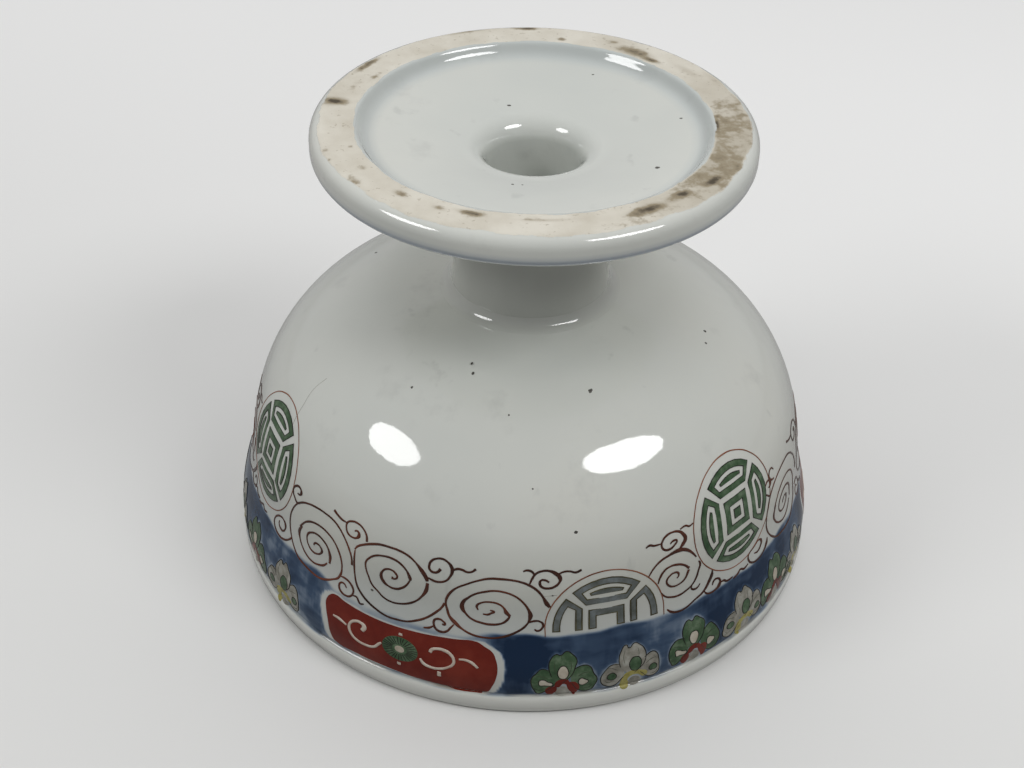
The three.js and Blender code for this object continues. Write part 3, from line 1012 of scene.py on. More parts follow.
for third in range(3):
    for middle, strokes in GROUPS:
        stretch = 1.0 if third == 0 or (third == 1 and middle == SPREAD_FROM) else STRETCH_AWAY
        paint_group(strokes, middle, third_shift(middle, third), stretch)
for place in ROUNDELS:
    paint_group(ROUNDEL_CURLS, SPREAD_TO, place - SPREAD_TO, 1.0)
    if place == ROUNDELS[0]:
        paint_group(LEFT_ROUNDEL_CURL, place, 0.0, 1.0)
    else:
        paint_group(ROUNDEL_RIGHT_CURL, SPREAD_TO, place - SPREAD_TO, 1.0)
scrolls = scroll_brush.finish()

# %% [markdown]
# ## Roundels
# A thin circle holds a fret: four fans round a square, each with a bar in it. The half roundels
# are slate blue and rise out of the band.

# %% The fret's drawing, round its own middle
ROUNDEL_RADIUS = 15.2
HALF_RADIUS = 14.8
HALF_ANGLES = (-7, 188)
FAN_OUTER = 12.9
FAN_HOLE = 11.3
FAN_ROOT = 6.0
FAN_HOLE_ROOT = 7.5
FAN_ANGLES = (50, 130)
FAN_HOLE_ANGLES = (57, 123)
BAR_OUTER = 10.1
BAR_ROOT = 8.7
BAR_ANGLES = (66, 114)
SQUARE_HALF = 4.3
SQUARE_HOLE = 2.6
SQUARE_DOT = 1.2
HALF_CUT = -0.8
GREEN_HEIGHT = 0.1
PALE_HEIGHT = 0.08


def turned_about(points, degrees):
    """The points turned about the middle of the paper's own origin."""
    cos, sin = math.cos(math.radians(degrees)), math.sin(math.radians(degrees))
    return [(x * cos - y * sin, x * sin + y * cos) for x, y in points]


def fan(outer, root, angles):
    """A fan over the middle: a straight root and an arc."""
    arc = arc_points((0, 0), outer, angles[0], angles[1], 7)
    half_root = root / math.tan(math.radians(angles[0]))
    return arc + [(-half_root, root), (half_root, root)]


def at(points, place):
    """A drawing round its own middle, moved to a place on the paper."""
    return [(x + place[0], y + place[1]) for x, y in points]


def square(half):
    """The corners of a square round the middle."""
    return [(-half, -half), (half, -half), (half, half), (-half, half)]


def fret_fan(turn, place):
    """A fan of the fret, its hole and the bar in it, turned and moved to a place."""
    shapes = [fan(FAN_OUTER, FAN_ROOT, FAN_ANGLES), fan(FAN_HOLE, FAN_HOLE_ROOT, FAN_HOLE_ANGLES),
              fan(BAR_OUTER, BAR_ROOT, BAR_ANGLES)]
    return [at(turned_about(shape, turn), place) for shape in shapes]


def half_fan(side):
    """The upper half of a side fan, cut off straight at the band."""
    outer = arc_points((0, 0), FAN_OUTER, -3.5, 40, 5)
    hole = arc_points((0, 0), FAN_HOLE, 33, -4, 5)
    root_top = FAN_ROOT * math.tan(math.radians(40))
    hole_top = FAN_HOLE_ROOT * math.tan(math.radians(33))
    points = outer + [(FAN_ROOT, root_top), (FAN_ROOT, HALF_CUT), (FAN_HOLE_ROOT, HALF_CUT)]
    points += [(FAN_HOLE_ROOT, hole_top)] + hole
    return [(side * x, y) for x, y in points]


def half_square():
    """The upper half of the square, as an arch of bars."""
    return [(SQUARE_HALF, HALF_CUT), (SQUARE_HALF, SQUARE_HALF), (-SQUARE_HALF, SQUARE_HALF),
            (-SQUARE_HALF, HALF_CUT), (-SQUARE_HOLE, HALF_CUT), (-SQUARE_HOLE, SQUARE_HOLE),
            (SQUARE_HOLE, SQUARE_HOLE), (SQUARE_HOLE, HALF_CUT)]


# %% Pots and brushes for the frets, flowers and panels
green_pot = Enamel("green_enamel")
white_pot = Enamel("white_enamel")
cream_pot = Enamel("cream_enamel")
red_pot = Enamel("red_enamel")
yellow_pot = Enamel("yellow_enamel")
slate_pot = Enamel("slate_enamel")
ink_brush = Brush("dark_outlines", 0.27, 0.15)
olive_brush = Brush("olive_outlines", 0.34, 0.12)
vein_brush = Brush("petal_veins", 0.16, 0.1)
ring_brush = Brush("roundel_circles", 0.34, 0.08)

# %% Paint the frets
for place in ROUNDELS:
    middle = (place, ROUNDEL_RISE)
    circle = ring(middle, (ROUNDEL_RADIUS, ROUNDEL_RADIUS), 16)
    ring_brush.stroke(circle, closed=True)
    for turn in (0, 90, 180, 270):
        outside, hole, bar = fret_fan(turn, middle)
        green_pot.fill(outside, GREEN_HEIGHT, [hole], pointed=True)
        green_pot.fill(bar, GREEN_HEIGHT, pointed=True)
        for outline in (outside, hole, bar):
            ink_brush.stroke(outline, closed=True, pointed=True)
    green_pot.fill(at(square(SQUARE_HALF), middle), GREEN_HEIGHT, [at(square(SQUARE_HOLE), middle)],
                   pointed=True)
    green_pot.fill(at(square(SQUARE_DOT), middle), GREEN_HEIGHT, pointed=True)
    for half in (SQUARE_HALF, SQUARE_HOLE, SQUARE_DOT):
        ink_brush.stroke(at(square(half), middle), closed=True, pointed=True)

for third in range(3):
    middle = (HALF_ROUNDEL[0] + third_shift(HALF_ROUNDEL[0], third), HALF_ROUNDEL[1])
    ring_brush.stroke(arc_points(middle, HALF_RADIUS, *HALF_ANGLES, 13))
    outside, hole, bar = fret_fan(0, middle)
    slate_pot.fill(outside, PALE_HEIGHT, [hole], pointed=True)
    slate_pot.fill(bar, PALE_HEIGHT, pointed=True)
    for outline in (outside, hole, bar):
        olive_brush.stroke(outline, closed=True, pointed=True)
    for bars in (half_fan(1), half_fan(-1), half_square()):
        slate_pot.fill(at(bars, middle), PALE_HEIGHT, pointed=True)
        olive_brush.stroke(at(bars, middle), closed=True, pointed=True)
ring_lines = ring_brush.finish()
olive_lines = olive_brush.finish()
slate_enamel = slate_pot.finish()

# %% [markdown]
# ## Painting the flowers and the panels
# The side petals go on first, then the top petal over them, then the keyholes and the moustache,
# and last of all the dark outlines.

# %% Paint the flowers
VEINS = [[(-0.45, 12.3), (-0.3, 11.5)], [(-1.7, 11.2), (-1.9, 9.2), (-1.5, 7.2)],
         [(1.7, 11.0), (1.9, 9.2), (1.5, 7.2)], [(-5.9, 6.9), (-4.6, 6.6), (-3.4, 5.9)],
         [(-6.4, 3.0), (-5.6, 2.3), (-4.6, 2.4)], [(6.2, 7.0), (4.9, 6.9), (3.5, 6.0)],
         [(6.9, 3.0), (6.1, 2.0), (5.0, 2.0)]]
SIDE_PETAL_HEIGHT = 0.06
TOP_PETAL_HEIGHT = 0.08
KEYHOLE_HEIGHT = 0.11
MOUSTACHE_HEIGHT = 0.12
WOBBLE = 0.18


def wobbled(points):
    """The points with a small unsteadiness of the hand."""
    return [(x + hand.uniform(-WOBBLE, WOBBLE), y + hand.uniform(-WOBBLE, WOBBLE)) for x, y in points]


def paint_flower(place, is_green):
    """One flower with its foot at a place on the band."""
    petals = GREEN_PETALS if is_green else WHITE_PETALS
    keyholes = GREEN_FLOWER_KEYHOLES if is_green else WHITE_FLOWER_KEYHOLES
    moustache = RED_MOUSTACHE if is_green else YELLOW_MOUSTACHE
    petal_pot = green_pot if is_green else white_pot
    keyhole_pot = cream_pot if is_green else green_pot
    moustache_pot = red_pot if is_green else yellow_pot
    for petal, height in zip(petals, (SIDE_PETAL_HEIGHT, SIDE_PETAL_HEIGHT, TOP_PETAL_HEIGHT)):
        outline = at(wobbled(petal), place)
        petal_pot.fill(outline, height)
        ink_brush.stroke(outline)
    for vein in VEINS:
        vein_brush.stroke(at(wobbled(vein), place))
    for keyhole in keyholes:
        outline = at(wobbled(keyhole), place)
        keyhole_pot.fill(outline, KEYHOLE_HEIGHT)
        ink_brush.stroke(outline, closed=True)
    disc = HALF_DISC if is_green else WHITE_HALF_DISC
    white_pot.fill(at(disc, place), TOP_PETAL_HEIGHT)
    for blob in moustache:
        moustache_pot.fill(at(wobbled(blob), place), MOUSTACHE_HEIGHT)


for number, middle in enumerate(FLOWERS):
    paint_flower(flower_place(middle), flower_is_green(number))

# %% Paint the panels
PANEL_HEIGHT = 0.04
DAISY_HEIGHT = 0.09
cream_brush = Brush("cream_scrolls", 0.8, 0.12)
for middle in PANELS:
    red_pot.fill(shift(PANEL_EDGE, middle), PANEL_HEIGHT)
    for number, points in enumerate(PANEL_SCROLLS):
        cream_brush.stroke(shift(points, middle), PANEL_BLOBS.get(number, ()))
    daisy = (DAISY_PLACE[0] + middle, DAISY_PLACE[1])
    green_pot.fill(ring(daisy, DAISY_RADII, 14), DAISY_HEIGHT)
    cream_pot.fill(ring(daisy, (1.2, 0.9)), KEYHOLE_HEIGHT + 0.02)
    for i in range(DAISY_RAYS):
        turn = 2 * math.pi * (i + hand.uniform(-0.15, 0.15)) / DAISY_RAYS
        ray = [(daisy[0] + DAISY_RADII[0] * share * math.cos(turn),
                daisy[1] + DAISY_RADII[1] * share * math.sin(turn)) for share in (0.42, 0.7, 0.99)]
        ink_brush.stroke(ray)

# %% Lay the enamels on the wall
green_enamel = green_pot.finish()
white_enamel = white_pot.finish()
cream_enamel = cream_pot.finish()
red_enamel = red_pot.finish()
yellow_enamel = yellow_pot.finish()
dark_outlines = ink_brush.finish()
petal_veins = vein_brush.finish()
cream_scrolls = cream_brush.finish()
# %% [markdown]
# ## Specks
# Specks of iron in the clay burn through the glaze as dark dots. They are few, and each is a tiny
# flat blob that follows the surface, so that they stay in the meshes as well as in the picture.

# %% Specks on the wall and in the foot
WALL_SPECKS = [(25.6, 84.1, 0.62), (26.4, 84.4, 0.4), (-26.8, 91.0, 0.5), (-24.2, 88.4, 0.55),
               (93.2, 81.3, 0.5), (87.1, 79.8, 0.4), (-44.6, 79.7, 0.4), (13.4, 51.7, 0.45),
               (-37.0, 28.3, 0.4), (7.6, 36.0, 0.25), (-6.0, 79.0, 0.3), (2.5, 62.0, 0.25),
               (150.0, 60.0, 0.5), (205.0, 75.0, 0.45), (260.0, 52.0, 0.4), (315.0, 83.0, 0.5)]
FOOT_SPECKS = [(-6.4, 17.8, 0.45), (14.2, 31.3, 0.3), (34.9, 9.2, 0.35), (28.3, -13.9, 0.6),
               (-4.5, -20.9, 0.3), (-2.3, -20.9, 0.2)]
SPECK_THICKNESS = 0.06


def speck(radius):
    """A small uneven blob, flat and thin, in millimetres."""
    deselect_all()
    bpy.ops.mesh.primitive_ico_sphere_add(subdivisions=2, radius=radius, location=(0, 0, 0))
    blob = bpy.context.object
    for vertex in blob.data.vertices:
        vertex.co.x *= hand.uniform(0.85, 1.4)
        vertex.co.y *= hand.uniform(0.7, 1.0)
        vertex.co.z *= SPECK_THICKNESS / radius
    return blob


def recess_height(x, y):
    """Height of the glazed dish of the foot at a place."""
    share = (RECESS_EDGE - math.hypot(x, y)) / (RECESS_EDGE - FUNNEL_RADIUS)
    return RECESS_Z - recess_drop(min(1.0, max(0.0, share)))


wall_blobs = []
for along, up, size in WALL_SPECKS:
    blob = speck(size)
    for vertex in blob.data.vertices:
        vertex.co += Vector((along, up, 0.0))
    wrap(blob)
    wall_blobs.append(blob)
for x, y, size in FOOT_SPECKS:
    blob = speck(size)
    for vertex in blob.data.vertices:
        vertex.co = (vertex.co + Vector((x, y, recess_height(x, y)))) * MM
    wall_blobs.append(blob)
specks = join(wall_blobs, "kiln_specks")
print("specks:", len(WALL_SPECKS) + len(FOOT_SPECKS))

# %% A hair line in the glaze
hair_brush = Brush("glaze_hairline", 0.16, 0.02)
hair_brush.stroke([(-76.1, 68.9), (-77.4, 64.5), (-76.8, 60.0), (-76.6, 56.0), (-75.9, 52.4)])
hair_brush.stroke([(5.6, 35.9), (7.2, 36.0), (8.6, 36.1)])
hairline = hair_brush.finish()

# %% [markdown]
# ## Stains on the foot ring
# The bare ring has soaked up dirt from the tables that it stood on. The stains lie mostly on one
# side, in smudges drawn out along the ring. As with the cobalt, how bare and how stained each
# point is gets stored on the mesh, and the material breaks it up with fine noise. The glaze is
# bluer where it gathered thick beside the ring. Along the disc's lower edge it is darker and
# bluer, partly from thicker glaze and partly as a painted dark reflection. The stem is greyer
# with painted shade, as in the shadow under the disc.

# %% Store bareness and stains on the pedestal
# Each stain is (angle, radius, half length, half width, strength).
STAINS = [(172, 47.9, 1.8, 3.0, 1.3), (148, 49.2, 4.8, 1.0, 0.85), (153, 43.8, 3.0, 0.7, 0.35),
          (112, 49.8, 5.5, 0.7, 0.6), (93, 49.6, 3.2, 1.0, 0.9), (82, 44.1, 1.3, 0.8, 0.55),
          (57, 44.6, 5.0, 1.9, 0.78), (66, 46.8, 1.6, 1.3, 0.5), (49, 43.8, 2.6, 1.0, 0.95),
          (37, 46.3, 6.0, 1.8, 0.38), (0, 42.4, 4.6, 0.8, 1.0), (6, 43.0, 1.0, 0.9, 0.8),
          (-3, 45.5, 4.5, 1.8, 0.55), (-8, 48.8, 5.0, 2.2, 0.5), (7, 48.2, 6.5, 2.2, 0.55),
          (-17, 47.3, 5.0, 2.2, 0.6), (-26, 46.4, 4.0, 1.8, 0.6), (-33, 47.3, 4.0, 1.5, 0.95),
          (-46, 45.5, 4.4, 1.7, 0.95), (-57, 45.9, 5.0, 1.9, 1.0), (-129, 45.1, 2.0, 1.1, 0.75),
          (-116, 45.1, 1.8, 0.9, 0.55), (-107, 44.1, 3.0, 0.9, 0.85), (-142, 49.2, 2.6, 1.4, 0.42),
          (-147, 44.9, 0.9, 0.7, 0.7), (-160, 49.8, 0.7, 0.6, 0.8), (-155, 50.1, 0.6, 0.5, 0.7),
          (-160, 44.0, 0.6, 0.5, 0.7), (-86, 44.4, 7.0, 0.7, 0.4), (160, 46.0, 5.0, 1.2, 0.22),
          (-70, 48.5, 4.0, 1.0, 0.2)]
INNER_WAVES = ((0.2, 13, 0.5), (0.1, 31, 2.0))
OUTER_WAVES = ((0.25, 9, 1.5), (0.15, 29, 0.2))
GRIME_SIDE = -14.0
GRIME = 0.5
POOL_WIDTH = 3.9
EDGE_DARK_WIDTH = 0.9
SHADE_ON_STEM = (0.54, 0.88)
STEM_MIDDLE = 84.0
STEM_SPAN = 14.0
SHADE_ON_SLIP = 0.5
SLIP_SPAN = 4.2


def outside_bore(radii):
    """1 on the stem's outside and 0 in its bore."""
    return fade(radii - BORE_RADIUS - 2.0, 2.0)


foot_places = places_of(pedestal)
foot_heights = foot_places[:, 2]
foot_radii = np.hypot(foot_places[:, 0], foot_places[:, 1])
foot_angles = np.degrees(np.arctan2(foot_places[:, 1], foot_places[:, 0]))
ring_along = np.radians(foot_angles) * PAPER_RADIUS
inner_edge = RING_INNER + 0.1 + wander(ring_along, INNER_WAVES)
outer_edge = FACE_OUTER + 0.9 + wander(ring_along, OUTER_WAVES)
bare = fade(foot_radii - inner_edge, 0.9) * fade(outer_edge - foot_radii, 1.0)
bare = bare * fade(foot_heights - FOOT_FACE + 1.1, 0.9)
stain = GRIME * np.clip(np.cos(np.radians(foot_angles - GRIME_SIDE)), 0, 1) ** 3 * bare
for angle, radius, half_length, half_width, strength in STAINS:
    away = np.radians((foot_angles - angle + 180) % 360 - 180) * radius / half_length
    across = (foot_radii - radius) / half_width
    stain = np.maximum(stain, strength * np.exp(-away ** 2 - across ** 2))
stain = stain * fade(foot_heights - FOOT_FACE + 1.6, 1.6)
store(pedestal, "bare", bare)
store(pedestal, "stain", stain)
print("stains on the foot ring:", len(STAINS))

# %% Store where the glaze gathered thick, the darker blue of the disc's lower edge, and the painted shade on the stem
on_top = foot_heights > RECESS_Z - recess_drop(1.0)
slope_pool = fade(foot_radii - RING_INNER + POOL_WIDTH, 2.2) * fade(RING_INNER + 0.3 - foot_radii, 1.2)
low_edge = FOOT_FACE - FOOT_EDGE - SIDE_DEEPER + 1.5
# Along the disc's lower edge the glaze is bluer and darker: thicker glaze, and a painted dark reflection.
edge_pool_and_reflection = np.exp(-((foot_heights - low_edge) / EDGE_DARK_WIDTH) ** 2)
# Painted shade on the stem under the disc, deeper towards the disc.
under_disc_shade = fade(FOOT_FACE - FOOT_EDGE - 5.0 - foot_heights, 3.0)
shade_on_stem = from_to(*SHADE_ON_STEM, fade(foot_heights - STEM_MIDDLE, STEM_SPAN))
store(pedestal, "pool", slope_pool * on_top)
store(pedestal, "edge", edge_pool_and_reflection * fade(foot_radii - FACE_OUTER, 2.0))
store(pedestal, "stem", under_disc_shade * outside_bore(foot_radii) * shade_on_stem)
slip_places = places_of(slip)
slip_radii = np.hypot(slip_places[:, 0], slip_places[:, 1])
# Painted shade on the slip, deepest next to the stem.
shade_on_slip = SHADE_ON_SLIP * fade(STEM_RADIUS + SLIP_SPAN / 2 - slip_radii, SLIP_SPAN)
store(slip, "stem", shade_on_slip * outside_bore(slip_radii))
print("points in the greyer glaze:", int((under_disc_shade > 0.5).sum()))

# %% [markdown]
# ## Finishes
# All finishes are made of nodes that read Object coordinates or the attributes above. Glaze is
# a clear gloss over a white body, so the main thing is a low roughness, a coat, and a surface
# that is never quite even: slow waves bend the reflections, and a fine orange peel frays them.

# %% Helpers for nodes
class Nodes:
    """A node tree in the making, with short ways to add its nodes."""

    def __init__(self, tree):
        self.tree = tree
        self.coordinates = self.node("ShaderNodeTexCoord").outputs

    def node(self, kind, **settings):
        """Adds a node and sets its own settings."""
        made = self.tree.nodes.new(kind)
        for key, value in settings.items():
            setattr(made, key, value)
        return made

    def plug(self, socket, value):
        """Links an output to a socket, or sets the socket to a number or colour."""
        if isinstance(value, bpy.types.NodeSocket):
            self.tree.links.new(value, socket)
        else:
            socket.default_value = value

    def feed(self, made, **sockets):
        """Plugs values into the sockets of a node by name, with _ for a space."""
        for name, value in sockets.items():
            self.plug(made.inputs[name.replace("_", " ")], value)
        return made

    def noise(self, scale, detail=2.0, stretch=(1, 1, 1), rough=0.5):
        """Noise from 0 to 1 on Object coordinates, stretched along the axes."""
        place = self.feed(self.node("ShaderNodeMapping"), Vector=self.coordinates["Object"], Scale=stretch)
        made = self.feed(self.node("ShaderNodeTexNoise"), Vector=place.outputs["Vector"], Scale=scale,
                         Detail=detail, Roughness=rough)
        return made.outputs["Fac"]

    def stored(self, name):
        """A number stored on the mesh as an attribute."""
        return self.node("ShaderNodeAttribute", attribute_name=name).outputs["Fac"]

    def axis(self, name, coordinates="Object"):
        """One of X, Y and Z of the coordinates."""
        made = self.feed(self.node("ShaderNodeSeparateXYZ"), Vector=self.coordinates[coordinates])
        return made.outputs[name]

    def spread(self, value, low, high, to_low=0.0, to_high=1.0):
        """Maps a number from one range to another, and stops at its ends."""
        made = self.node("ShaderNodeMapRange", interpolation_type="SMOOTHSTEP")
        self.feed(made, Value=value, From_Min=low, From_Max=high, To_Min=to_low, To_Max=to_high)
        return made.outputs["Result"]

    def sum(self, kind, first, second, **settings):
        """Arithmetic on two numbers."""
        made = self.node("ShaderNodeMath", operation=kind, **settings)
        self.plug(made.inputs[0], first)
        self.plug(made.inputs[1], second)
        return made.outputs["Value"]

    def blend(self, share, first, second, kind="MIX"):
        """Mixes two colours, or multiplies or adds the second by a share."""
        made = self.node("ShaderNodeMix", data_type="RGBA", blend_type=kind)
        return self.feed(made, Factor=share, A=first, B=second).outputs["Result"]

    def ramp(self, value, stops):
        """A colour that changes with a number, through stops of (place, colour)."""
        made = self.feed(self.node("ShaderNodeValToRGB"), Fac=value)
        elements = made.color_ramp.elements
        while len(elements) < len(stops):
            elements.new(0.5)
        for element, (place, colour) in zip(elements, stops):
            element.position = place
            element.color = colour
        return made.outputs["Color"]

    def bump(self, height, depth_mm, under=None):
        """Raises the surface by a height from 0 to 1, times a depth in millimetres."""
        made = self.feed(self.node("ShaderNodeBump"), Strength=1.0, Distance=depth_mm * MM, Height=height)
        if under is not None:
            self.feed(made, Normal=under)
        return made.outputs["Normal"]


# %% Helpers for materials
COAT_ROUGHNESS = 0.04


class Finish(Nodes):
    """A material in the making."""

    def __init__(self, name, roughness, coat=0.0):
        self.material = bpy.data.materials.new(name)
        self.material.use_nodes = True
        super().__init__(self.material.node_tree)
        self.shader = self.tree.nodes["Principled BSDF"]
        self.feed(self.shader, Roughness=roughness, Coat_Weight=coat, Coat_Roughness=COAT_ROUGHNESS)

    def done(self, colour, normal=None, **sockets):
        """Plugs the colour, and where given the normal and other sockets, into the shader."""
        self.feed(self.shader, Base_Color=colour, **sockets)
        if normal is not None:
            self.feed(self.shader, Normal=normal, Coat_Normal=normal)
        return self.material


def dress(piece, material):
    """Gives a piece one material."""
    piece.data.materials.clear()
    piece.data.materials.append(material)


# %% Glaze
GLAZE_COLOUR = (0.72, 0.735, 0.69, 1)
GLAZE_WARM = (0.74, 0.74, 0.68, 1)
GLAZE_GREY = (0.66, 0.685, 0.65, 1)
SMUDGE = (0.46, 0.47, 0.45, 1)


def glaze_colour(finish):
    """White glaze: a little greyer here and warmer there, with a few faint smudges."""
    body = finish.ramp(finish.noise(14, 3), [(0.3, GLAZE_GREY), (0.5, GLAZE_COLOUR), (0.75, GLAZE_WARM)])
    smudges = finish.spread(finish.noise(55, 5, rough=0.62), 0.58, 0.76, 0.0, 0.32)
    scuffs = finish.spread(finish.noise(150, 4, stretch=(1, 1, 0.22)), 0.66, 0.76, 0.0, 0.3)
    return finish.blend(scuffs, finish.blend(smudges, body, SMUDGE), SMUDGE)


def glaze_surface(finish):
    """Slow waves and a fine orange peel."""
    waves = finish.bump(finish.noise(32, 1.0), 0.3)
    ripples = finish.bump(finish.noise(95, 1.0), 0.11, waves)
    return finish.bump(finish.noise(520, 2.0), 0.011, ripples)


# %% Glaze of the bowl, with the cobalt in it
glaze = Finish("white_glaze_with_cobalt", roughness=0.06, coat=1.0)
streaks = glaze.noise(70, 3, stretch=(1, 1, 3.0), rough=0.55)
tall_streaks = glaze.noise(160, 3, stretch=(1, 1, 0.3), rough=0.6)
loads = glaze.noise(42, 2)
brushed = glaze.sum("ADD", glaze.spread(streaks, 0.3, 0.7, -0.22, 0.16),
                    glaze.spread(tall_streaks, 0.35, 0.65, -0.12, 0.12))
brushed = glaze.sum("ADD", brushed, glaze.spread(loads, 0.36, 0.62, -0.24, 0.12))
depth = glaze.sum("MULTIPLY", glaze.stored("cobalt"), glaze.sum("ADD", brushed, 1.0))
BLUES = [(0.0, (1, 1, 1, 1)), (0.12, (0.78, 0.83, 0.90, 1)), (0.35, (0.36, 0.45, 0.62, 1)),
         (0.62, (0.095, 0.155, 0.285, 1)), (1.0, (0.017, 0.045, 0.115, 1))]
HEIGHT_SHADE = [(0.0, (1, 1, 1, 1)), (0.12, (1, 1, 1, 1)), (0.14, (0.86, 0.86, 0.86, 1)),
           (0.44, (0.74, 0.755, 0.77, 1)), (0.60, (0.82, 0.82, 0.80, 1)), (0.86, (1, 1, 1, 1))]
HEIGHT_SHADE_TOP_MM = 58.0
LIP_PAINTED_LIGHT = (0.92, 0.93, 0.88, 1)
DIRT_AND_GROOVE_SHADE = (0.22, 0.19, 0.14, 1)

height = glaze.sum("DIVIDE", glaze.axis("Z"), MM)
# Painted light: the lip roll is lighter than the rest of the glaze.
lip = glaze.spread(height, BEAD_HEIGHT - 0.5, BEAD_JOIN, 1.0, 0.0)
white = glaze.blend(lip, glaze_colour(glaze), LIP_PAINTED_LIGHT)
# Painted shade: the glaze is darker over the band and the scrolls, and full white again at the lip and high
# on the shoulder.
height_shade = glaze.ramp(glaze.sum("DIVIDE", height, HEIGHT_SHADE_TOP_MM), HEIGHT_SHADE)
white = glaze.blend(1.0, white, height_shade, "MULTIPLY")
# A darker brown line in the groove over the lip roll: dirt, and painted shade in the groove.
off_join = glaze.sum("ABSOLUTE", glaze.sum("SUBTRACT", height, BEAD_JOIN), 0.0)
dirt_and_groove_shade = glaze.sum("MULTIPLY", glaze.spread(off_join, 0.0, 0.5, 0.8, 0.0),
                  glaze.spread(glaze.noise(70, 3), 0.36, 0.6, 0.3, 1.0))
tinted = glaze.blend(1.0, glaze.blend(dirt_and_groove_shade, white, DIRT_AND_GROOVE_SHADE), glaze.ramp(depth, BLUES), "MULTIPLY")
dress(bowl, glaze.done(tinted, glaze_surface(glaze),
                       Specular_IOR_Level=glaze.spread(depth, 0.1, 0.6, 0.5, 0.1),
                       Coat_Weight=glaze.spread(depth, 0.1, 0.6, 1.0, 0.08)))

# %% Glaze of the slip joint
# Painted shade: the stem and the slip next to it are darker, as in the shadow under the disc.
STEM_PAINTED_SHADE = (0.40, 0.41, 0.38, 1)
slip_finish = Finish("slip_glaze_painted_shade", roughness=0.07, coat=1.0)
shaded_near_stem = slip_finish.blend(slip_finish.stored("stem"), glaze_colour(slip_finish), STEM_PAINTED_SHADE)
dress(slip, slip_finish.done(shaded_near_stem, glaze_surface(slip_finish)))

# %% Foot: glaze, and bare biscuit on the ring
BISCUIT_LIGHT = (0.76, 0.725, 0.635, 1)
BISCUIT_DARK = (0.62, 0.575, 0.48, 1)
STAIN_BROWN = (0.30, 0.245, 0.155, 1)
STAIN_BLACK = (0.085, 0.066, 0.040, 1)
POOLED = (0.50, 0.56, 0.57, 1)
EDGE_POOL_AND_REFLECTION = (0.24, 0.30, 0.40, 1)

foot = Finish("foot_glaze_and_biscuit", roughness=0.07, coat=1.0)
POOL_DEPTH = 0.46
EDGE_DEPTH = 0.8
grain = foot.noise(420, 5, rough=0.65)
smear = foot.noise(130, 3, rough=0.5)
biscuit = foot.ramp(foot.noise(75, 5, rough=0.6), [(0.3, BISCUIT_DARK), (0.62, BISCUIT_LIGHT)])
stained = foot.stored("stain")
soaked = foot.sum("ADD", stained, foot.spread(smear, 0.32, 0.66, -0.2, 0.2))
soaked = foot.sum("ADD", soaked, foot.spread(grain, 0.3, 0.7, -0.16, 0.16))
biscuit = foot.blend(foot.spread(stained, 0.02, 0.6, 0.0, 0.5), biscuit, STAIN_BROWN)
biscuit = foot.blend(foot.spread(soaked, 0.28, 0.64, 0.0, 0.88), biscuit, STAIN_BROWN)
biscuit = foot.blend(foot.spread(soaked, 0.6, 1.1), biscuit, STAIN_BLACK)
pits = foot.spread(foot.noise(900, 2), 0.64, 0.74, 0.0, 0.4)
biscuit = foot.blend(pits, biscuit, STAIN_BROWN)
bareness = foot.spread(foot.sum("ADD", foot.stored("bare"), foot.spread(grain, 0.3, 0.7, -0.2, 0.2)),
                       0.35, 0.65)
glazed = foot.blend(foot.sum("MULTIPLY", foot.stored("pool"), POOL_DEPTH), glaze_colour(foot), POOLED)
# Thicker glaze and a painted dark reflection along the disc's lower edge.
glazed = foot.blend(foot.sum("MULTIPLY", foot.stored("edge"), EDGE_DEPTH), glazed, EDGE_POOL_AND_REFLECTION)
# Painted shade on the stem under the disc.
glazed = foot.blend(foot.stored("stem"), glazed, STEM_PAINTED_SHADE)
foot_colour = foot.blend(bareness, glazed, biscuit)
rough_where_bare = foot.spread(bareness, 0.0, 1.0, 0.07, 0.62)
glazed_normal = glaze_surface(foot)
foot_normal = foot.bump(foot.sum("MULTIPLY", grain, bareness), 0.12, glazed_normal)
coat_left = foot.spread(bareness, 0.0, 0.6, 1.0, 0.0)
dress(pedestal, foot.done(foot_colour, foot_normal, Roughness=rough_where_bare, Coat_Weight=coat_left))


# %% [markdown]
# ## Enamels and lines
# Enamel is a glassy paint whose tone changes with the load of the brush, so each has three tones,
# deep, plain and pale, and noise at the scale of its strokes chooses between them.

# %% Enamels and lines
def enamel_finish(name, scale, tones):
    """Glassy paint in three tones, from the deepest load of the brush to the thinnest."""
    finish = Finish(name, roughness=0.16, coat=0.1)
    finish.feed(finish.shader, Specular_IOR_Level=0.14)
    load = finish.noise(scale, 4, rough=0.6)
    stops = [(place, (*tone, 1)) for place, tone in zip((0.3, 0.5, 0.72), tones)]
    return finish.done(finish.ramp(load, stops), finish.bump(finish.noise(scale * 2.2, 2), 0.03))


